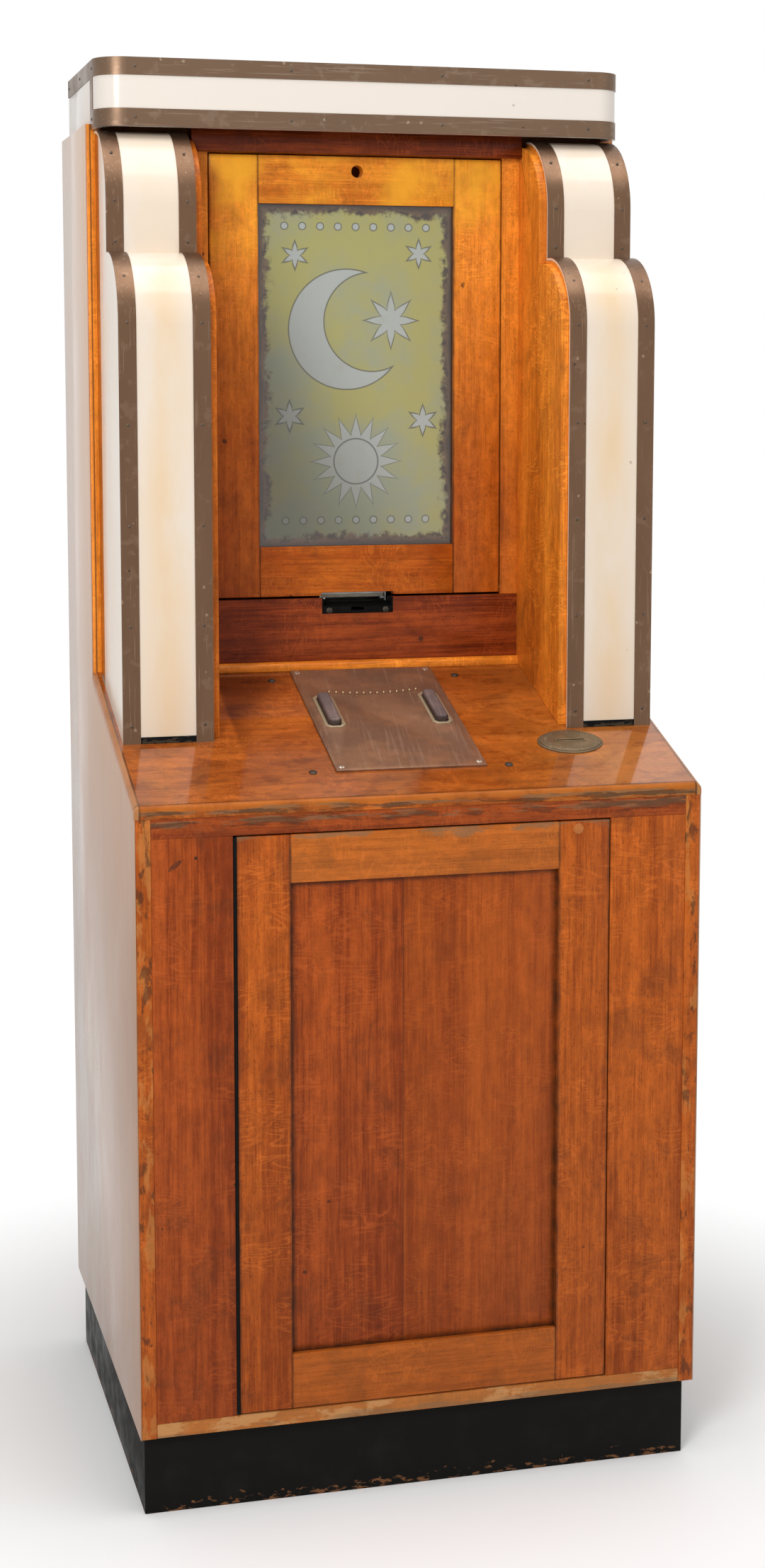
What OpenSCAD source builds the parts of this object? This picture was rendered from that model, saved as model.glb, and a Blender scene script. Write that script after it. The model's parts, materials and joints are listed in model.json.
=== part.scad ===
// Palm-reading coin machine: an oak cabinet with a sloped hand desk, two stepped
// pilasters, a tilting glass door and a banded header, in millimetres, +Z up.
// Lengths along Y are counted from the cabinet's front plane; placed() then moves
// every piece so that the origin lies under the middle of the cabinet.

/* [Cabinet] */
// Overall width over the side skins
cab_w = 711; // [660:1:760]
// Overall depth
cab_d = 590; // [570:1:660]
// Overall height
cab_h = 1778; // [1740:1:1840]
// Thickness of the side boards
side_t = 18.5; // [14:0.5:22]
// Thickness of the laminate skins
skin_t = 1.5; // [0.8:0.1:2.5]
// Height of the plinth
plinth_h = 103; // [60:1:140]
// Thickness of the plinth boards
plinth_t = 18; // [12:1:25]
// Set-back of the plinth at each side
plinth_side_in = 7; // [2:0.5:15]
// Set-back of the plinth at the front
plinth_front_in = 19.5; // [5:0.5:40]
// Set-back of the plinth at the back
plinth_back_in = 20; // [14:0.5:40]
// Thickness of the base board
base_t = 18; // [12:1:24]
// Thickness of the back panel
back_t = 10; // [6:1:14]
// How far the back panel lies inside the skins' rear edges
back_in = 3; // [3:0.5:6]

/* [Lower front] */
// How far the fixed front boards lie behind the front plane
face_in = 1; // [1:0.5:3]
// Thickness of the fixed front boards
front_t = 18; // [14:1:22]
// Width of each fixed front board
front_panel_w = 98.3; // [80:0.1:120]
// Height of the rail under the desk
front_rail_h = 24; // [18:1:34]
// Gap above and below the lower door
door_gap = 2; // [1:0.5:4]
// Gap at the lower door's latch side
latch_gap = 1.5; // [1.5:0.5:3]
// Thickness of the lower door
door_t = 20; // [18:1:24]
// Width of the lower door's stiles
door_stile_w = 65; // [50:1:80]
// Height of the lower door's top rail
door_top_rail_h = 59; // [45:1:75]
// Height of the lower door's bottom rail
door_bottom_rail_h = 69; // [50:1:90]
// Thickness of the lower door's panel
door_panel_t = 8; // [5:0.5:9]
// How far the panel's face lies behind the door frame
door_panel_in = 8; // [4:0.5:9]
// Depth of the panel groove
door_groove = 8; // [4:0.5:12]

/* [Door hinge] */
// Radius of the hinge barrel
barrel_r = 2; // [1.6:0.1:2.1]
// Radius of the hinge pin
hinge_pin_r = 1; // [0.7:0.1:1.2]
// Thickness of a hinge leaf
leaf_t = 1; // [0.6:0.1:1.2]
// Depth of a hinge leaf
leaf_d = 16; // [10:1:17]
// Number of barrel knuckles
knuckles = 9; // [5:2:15]
// Gap between the lower door and the fixed board at the hinge
hinge_gap = 4.4; // [4.4:0.1:5.4]

/* [Desk] */
// Height of the desk's front edge
desk_z = 877; // [840:1:910]
// Slope of the desk in degrees
desk_slope = 18.8; // [14:0.1:22]
// Thickness of the desk board
desk_t = 13.5; // [11:0.5:18]
// Rounding of the desk's front edge
nosing_r = 5; // [2:0.5:6]
// Rounding of the desk's two ends
end_r = 8; // [3:0.5:10]
// Height by which the ends' arcs pass over the desk's top, which leaves a fine arris
end_lift = 0.4; // [0.2:0.1:0.8]
// Radius of the moulding along the desk's back
moulding_r = 9; // [5:0.5:10]

/* [Hand plate] */
// Width of the hand plate
plate_w = 192; // [184:1:220]
// Length of the hand plate along the slope
plate_l = 283; // [270:1:284]
// Thickness of the hand plate
plate_t = 3; // [2:0.5:4]
// Distance of the hand plate's front edge from the desk's front edge
plate_s = 67.5; // [60:0.5:68]
// Distance of each guide bar from the middle
bar_x = 70.5; // [66:0.5:74]
// Distance of the bars' middle from the desk's front edge
bar_s = 226; // [215:1:228]
// Width of a guide bar
bar_w = 17; // [12:0.5:19]
// Length of a guide bar
bar_l = 76; // [60:1:80]
// Height of a guide bar above the plate
bar_h = 9; // [6.5:0.5:12]
// Travel of a guide bar
bar_travel = 6; // [3:0.5:6]
// Width of the raised rim round a guide bar
rim_w = 4.5; // [3:0.5:5]
// Height of the raised rim
rim_h = 1.6; // [1:0.1:2.5]
// Number of reader pins
pin_count = 14; // [10:1:15]
// Distance between reader pins
pin_pitch = 9; // [8:0.1:9.4]
// Radius of a reader pin
pin_r = 2; // [1.5:0.1:2.5]
// Height of a reader pin above the plate
pin_h = 3.4; // [2.5:0.1:5]
// Distance of the pin row's middle from the desk's front edge
pin_s = 277; // [276:0.5:284]
// How far the outer pins lie behind the middle ones
pin_sag = 7; // [0:0.5:8]

/* [Coin entry] */
// Half length of the oval coin plate
coin_a = 43; // [36:0.5:50]
// Half height of the oval coin plate
coin_b = 31; // [26:0.5:32]
// Radius of the oval's ends
coin_end_r = 22; // [16:0.5:24]
// Thickness of the coin plate
coin_t = 3.5; // [2:0.5:5]
// Length of the coin slot
coin_slot_l = 36; // [30:0.5:38]
// Width of the coin slot
coin_slot_w = 3.2; // [2.4:0.1:3.8]
// Distance of the coin plate from the middle
coin_x = 222; // [215:1:240]
// Distance of the coin plate from the desk's front edge
coin_s = 122; // [110:1:124]
// Inner depth of the coin chute
chute_d = 8; // [6:0.5:12]
// Wall of the coin chute
chute_wall = 2; // [1.5:0.5:3]
// Height of the coin chute's mouth above the floor
chute_z = 330; // [280:1:400]
// Height of the coin lever's pivot above the floor
lever_z = 605; // [480:1:700]

/* [Cash box] */
// Width of the cash box
cash_w = 180; // [140:1:190]
// Length of the cash box
cash_l = 220; // [180:1:300]
// Height of the cash box
cash_h = 110; // [70:1:140]
// Wall of the cash box
cash_wall = 2; // [1.5:0.5:3]
// Gap between the cash box and the side board
cash_side_gap = 23.5; // [6:0.5:40]
// Distance of the cash box behind the front plane
cash_y = 85; // [84:1:95]
// Height of the cleats beside the cash box
cleat_h = 12; // [8:1:20]

/* [Upper frame] */
// Distance of the upper frame behind the front plane
upper_y = 344; // [338:1:350]
// How far the sides' upper front edges lie behind the upper frame
side_step = 6; // [4:0.5:10]
// Thickness of the upper frame
frame_t = 20; // [18:1:24]
// Top of the card panel
card_panel_z = 1087; // [1070:1:1110]
// Half width of the glass door
gdoor_half = 197; // [190:0.5:200]
// Gap under the glass door
gdoor_gap = 3; // [3:0.5:4]
// Gap above the glass door
gdoor_top_gap = 2; // [1:0.5:6]
// Gap at each side of the glass door
gdoor_side_gap = 1.5; // [1:0.5:3]
// Width of the glass door's stiles
gdoor_stile_w = 64.5; // [50:0.5:75]
// Height of the glass door's top rail
gdoor_top_h = 62; // [50:1:70]
// Height of the glass door's bottom rail
gdoor_bottom_h = 66; // [50:1:80]
// Thickness of the glass
glass_t = 4; // [3:0.5:6]
// Depth of the glass behind the door's face
glass_in = 9; // [6:0.5:10]
// Width of the glass rebate
rebate_w = 8; // [5:0.5:12]
// Radius of the door's pivot pins
pivot_r = 3; // [2:0.5:4]
// Distance of the pivot from the door's face and lower edge
pivot_in = 6; // [5.5:0.5:6.5]
// Length of a pivot pin in each piece that it joins
pivot_l = 11; // [6:0.5:14]
// Radius of the lock hole
lock_r = 8; // [5:0.5:9]
// Depth of the lock hole's middle under the door's top edge
lock_in = 19; // [16:0.5:28]
// Height of the soffit rail
soffit_h = 25; // [20:1:25]
// How far the soffit rail lies behind the header's front
soffit_in = 40; // [10:0.5:45]

/* [Card tray] */
// Half width of the card tray
tray_half = 48.7; // [46:0.1:56]
// Height of the tray's front flange
tray_flange_h = 8; // [6:0.5:10]
// Height of the tray's cut-out in the card panel
tray_h = 21; // [19:0.5:26]
// Rise of the tray's ramp from front to back
tray_rise = 6; // [3:0.5:7]
// Thickness of the tray's metal
tray_t = 2; // [1.5:0.5:2.5]
// Half width of the finger notch in the ramp
tray_notch = 9; // [6:0.5:14]
// Height of the finger relief in the glass door's lower edge
relief_h = 4; // [2:0.5:4.5]

/* [Pilasters] */
// Distance of a pilaster's outer face from the skin's face
pil_in = 11; // [8:0.5:14]
// Width of a pilaster between its trims' outer edges
pil_w = 113.5; // [100:0.5:116]
// Front of the lower step behind the front plane
pil_low_y = 154.2; // [153:0.1:170]
// Front of the upper step behind the front plane
pil_high_y = 248.2; // [245:0.1:256]
// Height of the upper step above the lower one
pil_step_h = 157; // [130:1:240]
// Gap between the pilasters' tops and the header
pil_head_gap = 3; // [2.5:0.5:12]
// Rounding of the lower step
pil_low_r = 88; // [60:1:91]
// Rounding of the upper step
pil_high_r = 94; // [60:1:95]
// Thickness of a pilaster's curved front
pil_front_t = 3; // [2:0.5:5]
// Thickness of a pilaster's inner board
pil_board_t = 12; // [8:0.5:16]
// Thickness of the oak cheek on a pilaster's inner board
cheek_t = 9; // [6:0.5:10]
// How far the oak cheek's edge lies inside the pilaster's front
cheek_in = 8; // [4:0.5:12]
// Depth of the white skin on a pilaster's outer face
pil_skin_d = 118; // [80:1:150]
// Width of the bronze trims
trim_w = 22; // [14:0.5:28]
// Thickness of the bronze trims
trim_t = 1.2; // [0.8:0.1:1.6]
// Height of the foot strips
foot_h = 8; // [5:0.5:12]

/* [Header] */
// Height of the header
header_h = 85; // [70:1:100]
// How far the header's front hangs below the sides' tops
header_drop = 7; // [4:0.5:10]
// Distance of the header's sides from the skins' faces
header_in = 7.9; // [4:0.1:10]
// Front of the header behind the front plane
header_y = 290; // [280:1:300]
// Rounding of the header's front corners
header_r = 37; // [20:1:42]
// Thickness of the header's boards
header_t = 10; // [8:0.5:12]
// Distance of the header's back from the cabinet's back
header_back_in = 20; // [10:1:40]
// Height of the header's bronze bands
band_h = 22; // [14:0.5:28]
// Thickness of the header's bronze bands
band_t = 1; // [0.6:0.1:2]

/* [Card works] */
// Thickness of the shelf behind the card panel
shelf_t = 15; // [10:1:20]
// Width of a fortune card
card_w = 86; // [70:1:88]
// Length of a fortune card
card_l = 130; // [110:1:131]
// Height of the card stack
stack_h = 57; // [20:1:75]
// Wall of the card magazine
mag_wall = 2; // [1.5:0.5:3]
// Height of the card magazine
mag_h = 100; // [90:1:120]
// Thickness of the card slide
slide_t = 3; // [2:0.5:3.5]
// Travel of the card slide
slide_travel = 56; // [40:1:58]
// Gear module
gear_m = 1.5; // [1.4:0.1:1.6]
// Teeth of the drive pinion
drive_teeth = 12; // [11:1:14]
// Teeth of the feed gear
feed_teeth = 48; // [44:1:50]
// Teeth of the rack pinion
rack_teeth = 24; // [22:1:25]
// Radius of the feed gear's shaft
feed_shaft_r = 4; // [3:0.5:5]
// Radius of the motor's shaft
motor_shaft_r = 3; // [2:0.5:4]
// Radius of the motor's body
motor_r = 22; // [16:0.5:24]
// Length of the motor's body
motor_l = 66; // [50:1:90]
// Gap between the motor and the back panel
motor_back_gap = 5.75; // [3:0.25:12]

/* [Lamp and inlet] */
// Radius of the lamp bulb
bulb_r = 28; // [20:1:35]
// Height of the lamp above the floor
lamp_z = 1380; // [1300:1:1450]
// Radius of the cord inlet's bore
inlet_r = 5; // [3:0.5:7]
// Height of the cord inlet above the floor
inlet_z = 180; // [160:1:260]

/* [Hidden] */
// Running clearance of a pin or shaft in its bore
fit = 0.05;
// Clearance between moving flat faces
gap = 0.4;
// Overlap of a cutting tool past the face that it cuts
cut = 1;

half_w = cab_w / 2;
side_out = half_w - skin_t;
side_in = side_out - side_t;
back_face = cab_d - back_in;
back_front = back_face - back_t;
base_top = plinth_h + base_t;
side_top = cab_h - header_h + header_drop;
side_front = upper_y + side_step;
desk_tv = desk_t / cos(desk_slope);
nose_z = desk_top(nosing_r) - nosing_r / cos(desk_slope);
nose_end = [nosing_r * (1 - sin(desk_slope)), nose_z + nosing_r * cos(desk_slope)];
open_half = side_in - front_panel_w;
rail_z = desk_z - desk_tv - front_rail_h;

door_l = -open_half + hinge_gap;
door_r = open_half - latch_gap;
door_z0 = base_top + door_gap;
door_z1 = rail_z - door_gap;
hinge_x = -open_half + hinge_gap / 2;
hinge_y = face_in + barrel_r / 2;

frame_back = upper_y + frame_t;
gdoor_z0 = card_panel_z + gdoor_gap;
header_z = cab_h - header_h;
head_z = header_z - soffit_h;
gdoor_z1 = head_z - gdoor_top_gap;
jamb_in = gdoor_half + gdoor_side_gap;
view_half = gdoor_half - gdoor_stile_w;
view_z0 = gdoor_z0 + gdoor_bottom_h;
view_z1 = gdoor_z1 - gdoor_top_h;

pil_out = half_w - pil_in;
pil_inner = pil_out - pil_w;
cheek_face = pil_inner - cheek_t;
pil_top = header_z - pil_head_gap;
pil_step_z = pil_top - pil_step_h;

header_half = half_w - header_in;
header_back = cab_d - header_back_in;

tray_z = card_panel_z - tray_h;
ramp_z = tray_z + tray_flange_h;
card_panel_t = frame_t - 2;
card_z = ramp_z + tray_rise + 5;
mag_floor = 2;
slide_z = card_z - 2 - slide_t - 2 * gap;
shelf_z = slide_z - gap - mag_floor - 13;
mag_in = card_w / 2 + 1;
mag_y0 = frame_back + 8;
mag_y1 = mag_y0 + card_l + 2 + 2 * mag_wall;

mesh_gap = 0.25;
rack_x0 = mag_in + mag_wall + 6;
rack_w = 10;
rack_root_z = slide_z + slide_t + 5;
rack_pitch_z = rack_root_z + 1.15 * gear_m;
feed_x0 = rack_x0 + rack_w + 4;
feed_w = 8;
drive_y = back_front - motor_r - motor_back_gap;
feed_y = drive_y - gear_m * (drive_teeth + feed_teeth) / 2 - mesh_gap;
feed_z = rack_pitch_z + gear_m * rack_teeth / 2 + mesh_gap;
block_x0 = feed_x0 + feed_w + 4;
block_w = 20;
block_half = 12;
motor_x0 = block_x0 + 6;
rack_y1 = back_front - 4;
rack_front = 14;
rack_y0 = feed_y - rack_front;
arm_y0 = feed_y + 8;
arm_w = 20;

coin_y = coin_s * cos(desk_slope);
chute_half = coin_slot_l / 2 + 2;
chute_out = chute_half + chute_wall;
chute_back = coin_y + chute_d / 2 + chute_wall;
lever_y = chute_back + 12;

aperture_half = bar_x + bar_w / 2 + 9;
aperture_over = 14;
aperture_s0 = bar_s - bar_l / 2 - aperture_over;
aperture_s1 = pin_s + pin_sag + 12;
reader_over = 44;
reader_front = 14;
reader_back = 8;
reader_half = plate_w / 2 + reader_over;
reader_t = 4;
bolt_out = 29;
bolt_back = 24;
bolt_x = plate_w / 2 + bolt_out;
bolt_s = [plate_s + 2, plate_s + plate_l - bolt_back];
collar_t = 3;
stem_r = 4;
stem_l = desk_t + reader_t + bar_travel + 2.5;
pin_stem_r = 3;
pin_stem_x = 42;

plate_screw_in = 8;
screw_r = 2;
screw_head_r = 4.2;
tray_screw_in = 10;
tray_screw_x = tray_half - tray_screw_in;

$fn = 64;

oak = "peru";
oak_dark = "sienna";
cream = "linen";
bronze = "dimgray";
copper = "rosybrown";
steel = "lightslategray";
black = "#1c1a19";

function desk_top(y) = desk_z + y * tan(desk_slope);
function desk_under(y) = desk_top(y) - desk_tv;

// Moves a piece from the front plane to the origin under the cabinet's middle
module placed() {
    translate([0, -cab_d / 2, 0]) children();
}

// A board between two corners
module board(low, high) {
    translate(low) cube(high - low);
}

// Extrudes a profile drawn in Y and Z from x0 to x1
module across(x0, x1) {
    translate([x0, 0, 0]) rotate([90, 0, 90]) linear_extrude(x1 - x0) children();
}

// Desk frame: x across, y up the slope from the front edge, z square to the desk
module on_desk() {
    translate([0, 0, desk_z]) rotate([desk_slope, 0, 0]) children();
}

// Draws the right-hand piece, mirrored for the left hand
module hand(side) {
    if (side < 0) mirror([1, 0, 0]) children();
    else children();
}

module plinth() {
    color(black) placed() difference() {
        board([-half_w + plinth_side_in, plinth_front_in, 0],
              [half_w - plinth_side_in, cab_d - plinth_back_in, plinth_h]);
        board([-half_w + plinth_side_in + plinth_t, plinth_front_in + plinth_t, -cut],
              [half_w - plinth_side_in - plinth_t, cab_d - plinth_back_in - plinth_t, plinth_h + cut]);
    }
}

cash_x1 = side_in - cash_side_gap;
cash_x0 = cash_x1 - cash_w;
cleat_w = 4;
cash_grip_r = 22;

module base_board() {
    color(oak) placed() {
        board([-side_in, face_in, plinth_h], [side_in, back_front, base_top]);
        for (x = [cash_x0 - gap - cleat_w, cash_x1 + gap])
            board([x, cash_y, base_top], [x + cleat_w, cash_y + cash_l, base_top + cleat_h]);
    }
}

// Outline of a side board, up to its rear edge
module side_outline(rear) {
    polygon([
        [0, plinth_h], [0, desk_under(0)], [side_front, desk_under(side_front)],
        [side_front, side_top], [rear, side_top], [rear, plinth_h]
    ]);
}

module side_panel(side) {
    color(oak) placed() hand(side) across(side_in, side_out) side_outline(back_front);
}

module left_side_panel() { side_panel(-1); }
module right_side_panel() { side_panel(1); }

module side_skin(side) {
    color(cream) placed() hand(side) across(side_out, half_w) side_outline(cab_d);
}

module left_side_skin() { side_skin(-1); }
module right_side_skin() { side_skin(1); }

module front_panel(side) {
    color(oak_dark) placed() hand(side)
        board([open_half, face_in, base_top], [side_in, face_in + front_t, rail_z]);
}

module left_front_panel() { front_panel(-1); }
module right_front_panel() { front_panel(1); }

module front_top_rail() {
    color(oak_dark) placed() across(-side_in, side_in) polygon([
        [face_in, rail_z], [face_in, desk_under(face_in)],
        [face_in + front_t, desk_under(face_in + front_t)], [face_in + front_t, rail_z]
    ]);
}

// The lower door's panel, grown on every side by a clearance
module door_panel_block(clear) {
    board([door_l + door_stile_w - door_groove - clear, face_in + door_panel_in,
           door_z0 + door_bottom_rail_h - door_groove - clear],
          [door_r - door_stile_w + door_groove + clear, face_in + door_panel_in + door_panel_t,
           door_z1 - door_top_rail_h + door_groove + clear]);
}

module lower_door_stiles() {
    color(oak) placed() difference() {
        for (x = [door_l, door_r - door_stile_w])
            board([x, face_in, door_z0], [x + door_stile_w, face_in + door_t, door_z1]);
        door_panel_block(gap);
    }
}

module lower_door_rails() {
    color(oak) placed() difference() {
        for (z = [[door_z0, door_z0 + door_bottom_rail_h], [door_z1 - door_top_rail_h, door_z1]])
            board([door_l + door_stile_w, face_in, z[0]],
                  [door_r - door_stile_w, face_in + door_t, z[1]]);
        door_panel_block(gap);
    }
}

module lower_door_panel() {
    color(oak_dark) placed() door_panel_block(0);
}

knuckle_l = (door_z1 - door_z0) / knuckles;
knuckle_gap = 0.5;

// One leaf of the long hinge: side -1 is fixed, side 1 turns with the door
module hinge_leaf(side, first) {
    edge = side * hinge_gap / 2;
    leaf_x0 = min(edge, edge - side * leaf_t);
    web_y = barrel_r + 2 * gap;
    translate([hinge_x, hinge_y, door_z0]) {
        translate([leaf_x0, web_y, 0]) cube([leaf_t, leaf_d, door_z1 - door_z0]);
        for (i = [first : 2 : knuckles - 1]) translate([0, 0, i * knuckle_l + knuckle_gap / 2])
            difference() {
                union() {
                    cylinder(r = barrel_r, h = knuckle_l - knuckle_gap);
                    translate([leaf_x0, 0, 0]) cube([leaf_t, web_y + cut, knuckle_l - knuckle_gap]);
                }
                translate([0, 0, -cut]) cylinder(r = hinge_pin_r + fit, h = knuckle_l + 2 * cut);
            }
    }
}

module hinge_fixed_leaf() {
    color(steel) placed() hinge_leaf(-1, 0);
}

module hinge_door_leaf() {
    color(steel) placed() hinge_leaf(1, 1);
}

module hinge_pin() {
    color(steel) placed() translate([hinge_x, hinge_y, door_z0])
        cylinder(r = hinge_pin_r, h = door_z1 - door_z0);
}

// Cross-section of the desk board with its rounded front edge
module desk_outline() {
    translate([nosing_r, nose_z]) circle(nosing_r);
    polygon([
        [0, desk_under(0)], [0, nose_z], [nosing_r, nose_z], nose_end,
        [side_front, desk_top(side_front)], [side_front, desk_under(side_front)]
    ]);
}

// The desk's width seen down the slope, rounded at both ends and open above
module desk_width() {
    arc_x = half_w - end_r;
    arc_z = end_lift - end_r;
    polygon([
        [-half_w, -2 * desk_t], [half_w, -2 * desk_t], [half_w, arc_z], [arc_x, arc_z], [arc_x, desk_t],
        [-arc_x, desk_t], [-arc_x, arc_z], [-half_w, arc_z]
    ]);
    for (x = [-arc_x, arc_x]) translate([x, arc_z]) circle(end_r);
}

module desk_board() {
    color(oak) placed() difference() {
        intersection() {
            across(-half_w - cut, half_w + cut) desk_outline();
            on_desk() translate([0, cab_d, 0]) rotate([90, 0, 0]) linear_extrude(2 * cab_d) desk_width();
        }
        on_desk() {
            board([-aperture_half, aperture_s0, -desk_t - cut], [aperture_half, aperture_s1, cut]);
            for (x = [-bolt_x, bolt_x], s = bolt_s) translate([x, s, -desk_t - cut])
                cylinder(r = bolt_r + fit, h = desk_t + 2 * cut);
        }
        board([coin_x - chute_half, coin_y - chute_d / 2, desk_under(coin_y) - 3 * desk_t],
              [coin_x + chute_half, coin_y + chute_d / 2, desk_top(coin_y) + 3 * desk_t]);
    }
}

module desk_moulding() {
    z = desk_top(upper_y);
    color(oak) placed() across(-cheek_face, cheek_face) intersection() {
        translate([upper_y, z]) circle(moulding_r);
        polygon([
            [upper_y, z], [upper_y, z + 2 * moulding_r],
            [upper_y - 2 * moulding_r, z + 2 * moulding_r],
            [upper_y - 2 * moulding_r, desk_top(upper_y - 2 * moulding_r)]
        ]);
    }
}

bolt_r = 3;
bolt_head_r = 5;
bolt_head_h = 2.4;
nut_r = 6;
nut_h = 5;

module desk_bolts() {
    under = -desk_t - reader_t;
    color(bronze) placed() on_desk()
        for (x = [-bolt_x, bolt_x], s = bolt_s) translate([x, s, 0]) {
            rotate_extrude() intersection() {
                translate([0, bolt_head_h - 2 * bolt_head_r]) circle(2 * bolt_head_r);
                square([bolt_head_r, bolt_head_h]);
            }
            translate([0, 0, under - nut_h - 3]) cylinder(r = bolt_r, h = nut_h + 3 - under);
            translate([0, 0, under - nut_h]) cylinder(r = nut_r, h = nut_h, $fn = 6);
        }
}

// Rectangle with cut corners, centred
module cut_rect(w, l, c) {
    polygon([
        [-w / 2 + c, -l / 2], [w / 2 - c, -l / 2], [w / 2, -l / 2 + c], [w / 2, l / 2 - c],
        [w / 2 - c, l / 2], [-w / 2 + c, l / 2], [-w / 2, l / 2 - c], [-w / 2, -l / 2 + c]
    ]);
}

bar_corner = 4;
slot_end = 3;

module bar_slot(grow) {
    cut_rect(bar_w + 2 * gap + 2 * grow, bar_l + 2 * slot_end + 2 * grow, bar_corner + grow / 2);
}

function pin_place(i) =
    let (x = (i - (pin_count - 1) / 2) * pin_pitch, end = (pin_count - 1) / 2 * pin_pitch)
    [x, pin_s + pin_sag * pow(x / end, 2) - pin_sag / 2];

module hand_plate() {
    color(copper) placed() on_desk() difference() {
        union() {
            translate([-plate_w / 2, plate_s, 0]) cube([plate_w, plate_l, plate_t]);
            for (x = [-bar_x, bar_x]) translate([x, bar_s, 0])
                linear_extrude(plate_t + rim_h) bar_slot(rim_w);
        }
        for (x = [-bar_x, bar_x]) translate([x, bar_s, -cut])
            linear_extrude(plate_t + rim_h + 2 * cut) bar_slot(0);
        for (i = [0 : pin_count - 1]) translate(concat(pin_place(i), [-cut]))
            cylinder(r = pin_r + fit, h = plate_t + 2 * cut, $fn = 24);
        plate_screw_places() translate([0, 0, -cut]) cylinder(r = screw_r + fit, h = plate_t + 2 * cut);
    }
}

module plate_screw_places() {
    for (x = [-1, 1], s = [plate_s + plate_screw_in, plate_s + plate_l - plate_screw_in])
        translate([x * (plate_w / 2 - plate_screw_in), s, 0]) children();
}

// A domed screw, its head on z = 0
module dome_screw(shank) {
    head_h = screw_head_r / 3;
    ball_r = (screw_head_r * screw_head_r + head_h * head_h) / (2 * head_h);
    rotate_extrude() intersection() {
        translate([0, head_h - ball_r]) circle(ball_r, $fn = 96);
        square([screw_head_r, head_h]);
    }
    translate([0, 0, -shank]) cylinder(r = screw_r, h = shank + head_h / 2);
}

module plate_screws() {
    color(bronze) placed() {
        on_desk() plate_screw_places() translate([0, 0, plate_t]) dome_screw(plate_t);
        for (x = [-tray_screw_x, tray_screw_x])
            translate([x, upper_y, tray_z + tray_flange_h / 2]) rotate([90, 0, 0]) dome_screw(tray_t);
    }
}

// One guide bar with its collar and guide stem
module guide_bar(side) {
    round_r = 4;
    color(copper) placed() on_desk() translate([side * bar_x, bar_s, 0]) {
        intersection() {
            translate([0, 0, -collar_t]) linear_extrude(plate_t + bar_h + collar_t)
                cut_rect(bar_w, bar_l, bar_corner);
            translate([0, bar_l / 2, 0]) rotate([90, 0, 0]) linear_extrude(bar_l) {
                translate([-bar_w / 2, -collar_t])
                    square([bar_w, plate_t + bar_h + collar_t - round_r]);
                translate([-bar_w / 2 + round_r, -collar_t])
                    square([bar_w - 2 * round_r, plate_t + bar_h + collar_t]);
                for (x = [-1, 1]) translate([x * (bar_w / 2 - round_r), plate_t + bar_h - round_r])
                    circle(round_r);
            }
        }
        translate([0, 0, -gap - collar_t]) linear_extrude(collar_t)
            cut_rect(bar_w + 6, bar_l + 2 * slot_end + 2, bar_corner);
        translate([0, 0, -collar_t - stem_l]) cylinder(r = stem_r, h = stem_l);
    }
}

module left_guide_bar() { guide_bar(-1); }
module right_guide_bar() { guide_bar(1); }

module reader_pins() {
    carrier_l = (pin_count - 1) * pin_pitch + 10;
    carrier_d = pin_sag + 2 * pin_r + 2;
    color(steel) placed() on_desk() {
        for (i = [0 : pin_count - 1]) translate(concat(pin_place(i), [-gap - collar_t])) {
            cylinder(r = pin_r, h = plate_t + pin_h + gap + collar_t - pin_r, $fn = 24);
            translate([0, 0, plate_t + pin_h + gap + collar_t - pin_r]) sphere(pin_r, $fn = 24);
        }
        translate([-carrier_l / 2, pin_s - carrier_d / 2, -gap - collar_t])
            cube([carrier_l, carrier_d, collar_t]);
        for (x = [-pin_stem_x, pin_stem_x]) translate([x, pin_s, -collar_t - stem_l])
            cylinder(r = pin_stem_r, h = stem_l);
    }
}

module reader_frame() {
    color(steel) placed() on_desk() translate([0, 0, -desk_t - reader_t]) difference() {
        board([-reader_half, plate_s - reader_front, 0],
              [reader_half, plate_s + plate_l - reader_back, reader_t]);
        for (x = [-bolt_x, bolt_x], s = bolt_s) translate([x, s, -cut])
            cylinder(r = bolt_r + fit, h = reader_t + 2 * cut);
        for (x = [-bar_x, bar_x]) translate([x, bar_s, -cut])
            cylinder(r = stem_r + fit, h = reader_t + 2 * cut);
        for (x = [-pin_stem_x, pin_stem_x]) translate([x, pin_s, -cut])
            cylinder(r = pin_stem_r + fit, h = reader_t + 2 * cut);
    }
}

// Four-centred oval with half axes a and b and end radius r
module oval(a, b, r) {
    flat_r = (pow(a - r, 2) + b * b - r * r) / (2 * (b - r));
    reach = flat_r * (a - r) / (flat_r - r);
    intersection() {
        translate([0, b - flat_r]) circle(flat_r, $fn = 128);
        translate([0, flat_r - b]) circle(flat_r, $fn = 128);
        square([2 * reach, 2 * b], center = true);
    }
    for (x = [-1, 1]) translate([x * (a - r), 0]) circle(r);
}

module coin_plate() {
    step = 2.5;
    color("#7a7060") placed() on_desk() translate([coin_x, coin_s, 0]) difference() {
        union() {
            linear_extrude(coin_t / 2) oval(coin_a, coin_b, coin_end_r);
            linear_extrude(coin_t) oval(coin_a - step, coin_b - step, coin_end_r - step);
        }
        translate([-coin_slot_l / 2, -coin_slot_w / 2, -cut])
            cube([coin_slot_l, coin_slot_w, coin_t + 2 * cut]);
    }
}

ear_t = 3;
ear_half = 10;
lever_pin_r = 2.5;
window_half = 6;
window_low = 20;
window_high = 15;
ear_up = 10;
ear_back = 8;

flange_t = 3;
flange_out = 12;

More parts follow.
